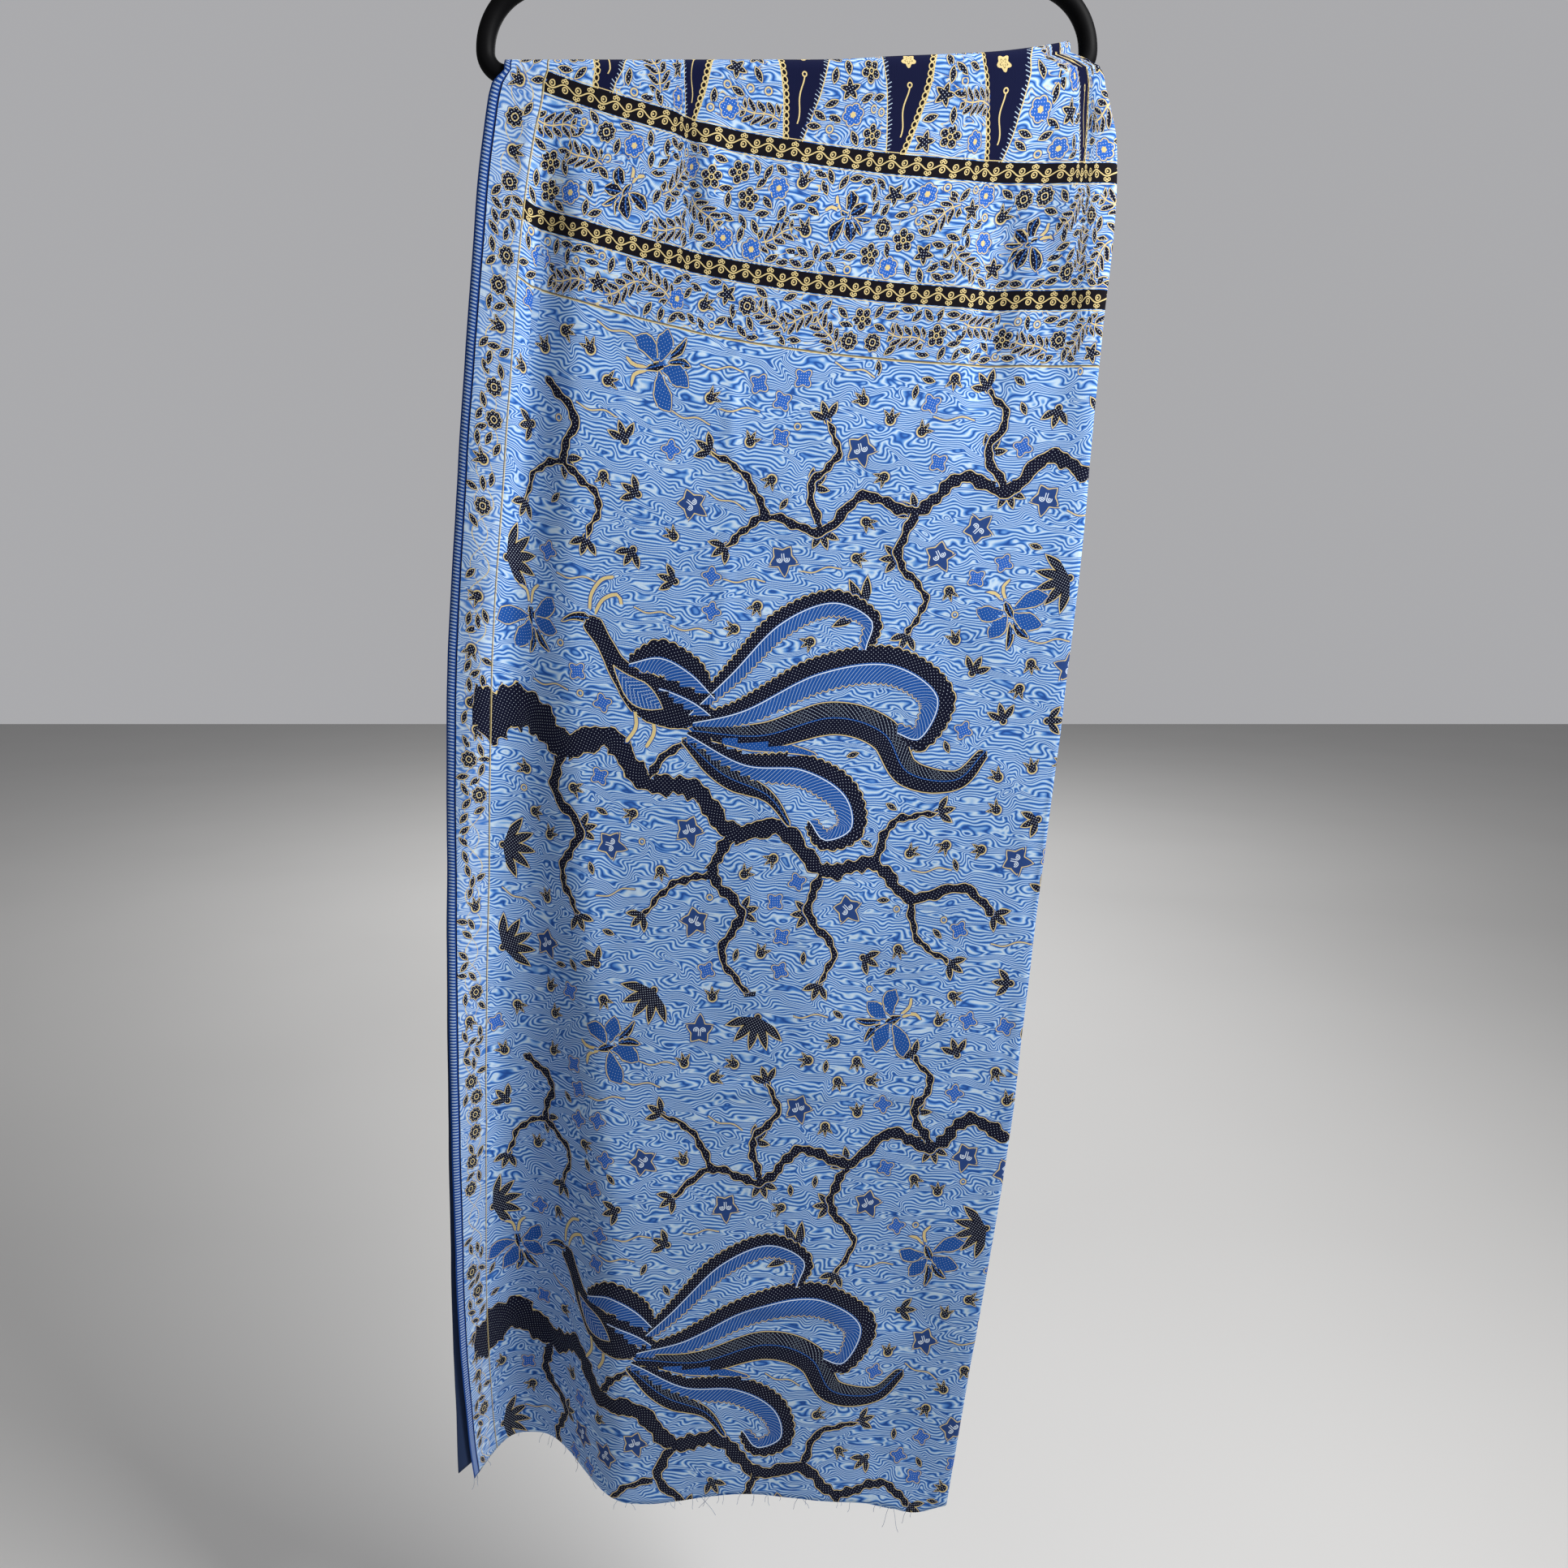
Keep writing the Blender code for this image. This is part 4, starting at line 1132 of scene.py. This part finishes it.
def print_strip_and_edge_shade(ink, u, v, edge):
    """Selvage and the lines beside the flowered strip, and painted shade: deep navy on the edge of the inner
    layer's hidden half.
    edge is the distance from the nearer selvage in millimetres."""
    ink.lay(BROWN_LINE, near(edge, STRIP * 1000 - 0.3, 0.4))
    ink.lay(GOLD, near(edge, STRIP * 1000 + 0.6, 0.3))
    ink.lay(MID_BLUE, edge < SELVAGE * 1000)
    ticks = (repeat(v, 2.6) > 0.2) * near(edge, 3.8, 2.6)
    ink.lay(PALE_BLUE, ticks * 0.7)
    ink.lay(DEEP_NAVY, near(edge, SELVAGE * 1000 + 0.3, 0.6))
    # Painted shade: deep navy on the inner layer's last 17 mm by its selvage, where it peeks out beside the
    # outer layer
    ink.lay(DEEP_NAVY, (u > CLOTH_WIDTH * 700) * (edge < 17))


GROUND_PITCH = 3.0  # of the ground's lines, in millimetres
THREAD_PITCH = 1.1
PRINT_GLOSS = 0.06
PLASTIC_GLOSS = 0.06


def batik_cotton(name, wrong_side):
    """Plain weave cotton printed with reactive dyes: matt, a little fibrous sheen, ink sunk into the threads,
    so that the print changes the colour and never the gloss. The wrong side shows it weaker and greyer."""
    material, tree, shader = new_material(name)
    cloth = add(tree, "UVMap", uv_map="Cloth")
    u, v = (place * 1000 for place in axes_of(cloth, 2))
    away = abs(v - KEPALA_MIDDLE * 1000)
    edge = u.do("MINIMUM", u * -1 + CLOTH_WIDTH * 1000)

    # Wavy ground: fine lines that run across the cloth and close into loops where the noise is steep
    flow = noise(tree, cloth, 1.0, 0.6, (34.0, 62.0, 1.0), Distortion=0.9, noise_dimensions="2D")
    waves = ((v + flow * 23) * (2 * math.pi / GROUND_PITCH)).do("SINE")
    ink = Ink(tree, add(tree, "ValToRGB", waves * 0.5 + 0.5))
    ramp = ink.colour.socket.node.color_ramp
    ramp.elements[0].position, ramp.elements[0].color = 0.0, linear(LINE_BLUE)
    ramp.elements[1].position, ramp.elements[1].color = 1.0, linear(PALE_BLUE)
    for position, colour in ((0.16, GROUND_BLUE), (0.58, LIGHT_BLUE)):
        ramp.elements.new(position).color = linear(colour)

    # Thin gold stems that wander between the small leaves of the bands
    in_bands = away < (BODY_LINE - KEPALA_MIDDLE) * 1000
    stems = near(repeat(v + u * 0.3 + flow * 70, 19.0), 0.0, 0.42) * in_bands
    ink.lay(GOLD, stems * 0.9)
    print_kepala(ink, u, away)
    for place in (0.0, SECOND_BAND):
        print_band(ink, u, away - (place - KEPALA_MIDDLE) * 1000)
    line = away - (BODY_LINE - KEPALA_MIDDLE) * 1000
    ink.lay(BROWN_LINE, near(line, 0.0, 0.5))
    ink.lay(GOLD, near(line, 0.9, 0.35))

    # The flowered strip's own ground, paler, and the two gold vines that cross on it
    beyond_strip = edge > STRIP * 1000
    plain_edge = Ink(tree, add(tree, "ValToRGB", waves * 0.5 + 0.5))
    plain_ramp = plain_edge.colour.socket.node.color_ramp
    plain_ramp.elements[0].color, plain_ramp.elements[1].color = linear(GROUND_BLUE), linear(PALE_BLUE)
    ink.colour = add(tree, "MixRGB", beyond_strip, plain_edge.colour, ink.colour)
    vine = (v * 0.13).do("SINE") * 8
    ink.lay(GOLD, near(edge, vine + 23.5, 0.4) + near(edge, vine * -0.8 + 22.0, 0.35) * 0.8)
    print_motifs(ink, tree)
    print_strokes_on(ink, tree)
    print_strip_and_edge_shade(ink, u, v, edge)

    # Uneven dye: faint clouds a hand wide
    cloud = noise(tree, cloth, 9.0, 3.0, noise_dimensions="2D")
    shade = cloud * 0.22 + 0.87
    shades = add(tree, "CombineXYZ", shade, shade, shade)
    colour = add(tree, "MixRGB", 1.0, ink.colour, shades, blend_type="MULTIPLY")
    if wrong_side:
        colour = add(tree, "MixRGB", 0.16, colour, WRONG_SIDE)

    # Threads, really 0.3 mm apart, drawn wider apart so that they show at all
    across_threads, along_threads = ((place * (2 * math.pi / THREAD_PITCH)).do("SINE") for place in (u, v))
    slub = noise(tree, cloth, 1.0, 2.0, (900.0, 60.0, 1.0), noise_dimensions="2D")
    height = across_threads * along_threads * 0.5 + slub
    bump = add(tree, "Bump", Strength=0.22, Distance=0.0006, Height=height)
    feed(shader, Base_Color=colour, Roughness=cloud * 0.12 + 0.76, Specular_IOR_Level=PRINT_GLOSS,
         Sheen_Weight=0.02, Sheen_Roughness=0.6, Normal=bump)
    return material


def moulded_plastic(name):
    """Black moulded polypropylene: dark and satin, with an etched mould's grain and faint flow marks."""
    material, tree, shader = new_material(name)
    place = add(tree, "TexCoord", out=3)
    flow = noise(tree, place, 1.0, 4.0, (18.0, 60.0, 60.0))
    grain = noise(tree, place, 1400.0, 1.0)
    bump = add(tree, "Bump", Strength=0.12, Distance=0.0003, Height=grain)
    feed(shader, Base_Color=add(tree, "MixRGB", flow * 0.6, "070708", "111113"), Roughness=flow * 0.2 + 0.46,
         Specular_IOR_Level=PLASTIC_GLOSS, Normal=bump)
    return material


def arc(centre_x, centre_z, radius, start, end, steps):
    """Points along an arc, its ends in degrees from the right."""
    angles = [math.radians(start + (end - start) * i / steps) for i in range(steps + 1)]
    return [(centre_x + radius * math.cos(a), centre_z + radius * math.sin(a)) for a in angles]


def frame_route():
    """Middle line of the hanger's frame, from the bar's right end over the top to its left, and the top."""
    corner_z = BAR_Z + CORNER_RADIUS
    shoulder_x = BAR_HALF_STRAIGHT + CORNER_RADIUS - SHOULDER_END_RADIUS
    slope = math.degrees(SHOULDER_SLOPE)
    right = arc(BAR_HALF_STRAIGHT, corner_z, CORNER_RADIUS, -90, 0, 14)
    right += arc(shoulder_x, corner_z, SHOULDER_END_RADIUS, 0, 90 - slope, 22)[1:]
    foot_x, foot_z = right[-1]
    top_centre_z = foot_z + foot_x * math.tan(SHOULDER_SLOPE) - NECK_RADIUS / math.cos(SHOULDER_SLOPE)
    top = arc(0.0, top_centre_z, NECK_RADIUS, 90 - slope, 90 + slope, 10)
    return right + top + [(-x, z) for x, z in reversed(right)], top_centre_z + NECK_RADIUS


def tube_mesh(name, route, radius, closed):
    """Round tube along points in the hanger's plane."""
    curve = bpy.data.curves.new(name, "CURVE")
    curve.dimensions = "3D"
    curve.bevel_depth = radius
    curve.bevel_resolution = 8
    curve.use_fill_caps = not closed
    spline = curve.splines.new("POLY")
    spline.points.add(len(route) - 1)
    for point, (x, z) in zip(spline.points, route):
        point.co = (x, 0.0, z, 1.0)
    spline.use_cyclic_u = closed
    guide = link(bpy.data.objects.new(name, curve))
    mesh = mesh_of(guide)
    bpy.data.objects.remove(guide, do_unlink=True)
    bpy.data.curves.remove(curve)
    mesh.materials.clear()
    mesh.shade_smooth()
    return mesh


def make_hanger(material):
    """Closed frame and hook as one moulding, with a small collar at the neck and a rounded tip."""
    route, top_z = frame_route()
    frame_mesh = tube_mesh("hanger_moulding", route, TUBE_RADIUS, closed=True)
    frame_mesh.materials.append(material)
    hanger = link(bpy.data.objects.new("hanger_moulding", frame_mesh))
    curl_radius = HOOK_INSIDE_RADIUS + HOOK_RADIUS
    curl = arc(0.0, -HOOK_INSIDE_RADIUS, curl_radius, HOOK_TIP_ANGLE, HOOK_FOOT_ANGLE, 60)
    neck, _ = smooth_route(curl[-2:] + list(HOOK_NECK) + [(0.0, top_z)], 0.0015)
    bm = bmesh.new()
    bm.from_mesh(tube_mesh("hook", curl[:-2] + [tuple(p) for p in neck], HOOK_RADIUS, closed=False))
    tip_x, tip_z = curl[0]
    tip = bmesh.ops.create_uvsphere(bm, u_segments=24, v_segments=12, radius=HOOK_RADIUS)["verts"]
    bmesh.ops.translate(bm, verts=tip, vec=(tip_x, 0, tip_z))
    collar = bmesh.ops.create_cone(bm, cap_ends=True, segments=32, radius1=COLLAR_FOOT_RADIUS,
                                   radius2=COLLAR_TOP_RADIUS, depth=COLLAR_HEIGHT)["verts"]
    bmesh.ops.translate(bm, verts=collar, vec=(0, 0, top_z + COLLAR_RISE))
    rims = [
        edge for edge in bm.edges
        if len(edge.link_faces) == 2 and edge.verts[0] in collar and edge.calc_face_angle(0) > 1.0
    ]
    bmesh.ops.bevel(bm, geom=rims, offset=COLLAR_BEVEL, segments=3, profile=0.5, affect="EDGES", material=-1)
    hook_mesh = bpy.data.meshes.new("hook")
    bm.to_mesh(hook_mesh)
    bm.free()
    hook_mesh.shade_smooth()
    hook_mesh.set_sharp_from_angle(angle=math.radians(50))
    hook_mesh.materials.append(material)
    return hanger, link(bpy.data.objects.new("hanger_hook", hook_mesh))


THREADS = 46
THREAD_RADIUS = 0.00016
THREAD_STEPS = 7
THREAD_SEED = 5


def make_threads(fall, material):
    """Loose threads of the raw cut hem: thin curves that leave the edge and hang."""
    points, _ = fall.lattice()
    rng = np.random.default_rng(THREAD_SEED)
    curve = bpy.data.curves.new("hem_threads", "CURVE")
    curve.dimensions = "3D"
    curve.bevel_depth = THREAD_RADIUS
    curve.bevel_resolution = 1
    curve.use_fill_caps = True
    columns = np.flatnonzero(fall.layer == 1)
    for _ in range(THREADS):
        at = points[-1, rng.choice(columns)] + (0, 0, 0.0006)
        run = rng.uniform(0.003, 0.012) * (2.2 if rng.random() < 0.12 else 1)
        lean = rng.normal(0, 0.45)
        spline = curve.splines.new("POLY")
        spline.points.add(THREAD_STEPS)
        for i, point in enumerate(spline.points):
            t = i / THREAD_STEPS
            sway = lean * run * t + 0.0009 * math.sin(t * 5 + lean * 7) * t
            point.co = (at[0] + sway, at[1] + fall.side * 0.0012 * t, at[2] - run * t, 1.0)
    threads = link(bpy.data.objects.new("hem_threads", curve))
    mesh = mesh_of(threads)
    bpy.data.objects.remove(threads, do_unlink=True)
    mesh.materials.clear()
    mesh.materials.append(material)
    return link(bpy.data.objects.new("hem_threads", mesh))


def cotton_thread(name):
    """Cut end of dyed cotton yarn: matt, pale blue grey where the ink didn't reach."""
    material, tree, shader = new_material(name)
    fuzz = noise(tree, add(tree, "TexCoord", out=3), 120.0, 2.0)
    feed(shader, Base_Color=add(tree, "MixRGB", fuzz, "2A3C66", "9FB2CC"), Roughness=0.9)
    return material


def pale_floor(name):
    """Matt pale paint on a smooth floor."""
    material, tree, shader = new_material(name)
    cloud = noise(tree, add(tree, "TexCoord", out=3), 1.5, 2.0)
    feed(shader, Base_Color=add(tree, "MixRGB", cloud, "E6E5E3", "ECEBE9"), Roughness=0.9)
    return material


FLOOR_Z = -1.75
FLOOR_HALF = 9.0
CAMERA_DISTANCE = 0.9103  # from the cloth's front to the camera, level
CAMERA_DROP = 0.3767  # of the camera below the cloth's top on the bar
CAMERA_PITCH = 9.74  # degrees below the level
CAMERA_X = -0.0020
FOCAL_PIXELS = 1430
PHOTO_PIXELS = 1932
SENSOR_WIDTH = 36.0
CLOTH_FRONT_Y = -0.012


def make_camera():
    data = bpy.data.cameras.new("camera")
    data.sensor_width = SENSOR_WIDTH
    data.lens = FOCAL_PIXELS / PHOTO_PIXELS * SENSOR_WIDTH
    camera = link(bpy.data.objects.new("camera", data))
    camera.location = (CAMERA_X, CLOTH_FRONT_Y - CAMERA_DISTANCE, CLOTH_TOP_Z - CAMERA_DROP)
    camera.rotation_euler = (math.radians(90 - CAMERA_PITCH), 0, 0)
    bpy.context.scene.camera = camera


# Brightness of the pale backdrop, and of the light that the room gives from all round
BACKDROP, ROOM_LIGHT = 0.62, 0.27
# Soft lights: name, place, aimed at, size in metres, watts
LIGHTS = (
    ("key", (1.20, -0.80, 0.50), (0.0, 0.0, -0.05), 0.7, 54),
    ("fill", (-1.5, -1.7, 0.3), (0.0, 0.0, -0.3), 1.8, 4),
    ("back", (0.6, 2.2, 0.6), (0.0, 0.0, -0.7), 1.6, 24),
    ("floor", (0.0, 3.6, 1.2), (0.0, 7.0, FLOOR_Z), 3.0, 70),
)


def make_lights():
    for name, place, target, size, watts in LIGHTS:
        data = bpy.data.lights.new(name, "AREA")
        data.size, data.energy = size, watts
        light = link(bpy.data.objects.new(name, data))
        light.location = place
        aim = [t - p for t, p in zip(target, place)]
        flat = math.hypot(aim[0], aim[1])
        light.rotation_euler = (math.atan2(flat, -aim[2]), 0, math.atan2(-aim[0], aim[1]))
    world = bpy.data.worlds.new("studio")
    world.use_nodes = True
    seen = add(world.node_tree, "LightPath")
    strength = seen * (BACKDROP - ROOM_LIGHT) + ROOM_LIGHT
    feed(world.node_tree.nodes["Background"], Color=linear("D3D3D6"), Strength=strength)
    bpy.context.scene.world = world
    bpy.context.scene.view_settings.view_transform = "Standard"


def make_floor():
    bm = bmesh.new()
    bmesh.ops.create_grid(bm, x_segments=1, y_segments=1, size=FLOOR_HALF)
    bmesh.ops.translate(bm, verts=bm.verts, vec=(0, 0, FLOOR_Z))
    mesh = bpy.data.meshes.new("floor")
    bm.to_mesh(mesh)
    bm.free()
    mesh.materials.append(pale_floor("Pale matt floor paint"))
    link(bpy.data.objects.new("floor", mesh))


def main():
    make_camera()
    make_lights()
    make_floor()
    wood, figures = print_strokes()
    placed = twig_leaves() + [(TRI_LEAF, *leaf) for leaf in LOBED_LEAVES]
    placed += [(GREAT_FAN, *fan) for fan in GREAT_FANS]
    placed = [(kind, u, v + start, turn) for start in BODY_STARTS for kind, u, v, turn in placed]
    motifs = scatter_motifs(placed, wood + figures)

    # The inner layer's print, where it shows below the back hem
    motifs += [
        (kind, CLOTH_WIDTH - u, v, -turn)
        for kind, u, v, turn in motifs
        if v > INNER_SHOWS_FROM and u < LAYER_CLOTH - MOTIFS[kind][0] / 1000
    ]
    wood += other_half(wood)
    figures += other_half(figures)

    cotton = batik_cotton("Printed plain weave cotton", wrong_side=False)
    cotton_back = batik_cotton("Printed plain weave cotton, wrong side", wrong_side=True)
    front = Fall(-1, FRONT_FALL, FRONT_FOLDS, FRONT_CREASES, 1, 2)
    back = Fall(1, BACK_FALL, BACK_FOLDS, BACK_CREASES, 3, 4)
    for name, fall, node in (("sarong_front", front, "cloth_front"), ("sarong_back", back, "cloth_back")):
        piece = make_cloth(name, fall, (cotton, cotton_back), motifs, wood, figures)
        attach(piece, "root")
        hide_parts(node)
    threads = make_threads(front, cotton_thread("Cut cotton yarn"))
    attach(threads, "root")
    plastic = moulded_plastic("Black moulded polypropylene")
    hanger, hook = make_hanger(plastic)
    for piece in (hanger, hook):
        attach(piece, "root")
    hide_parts("hanger")


main()
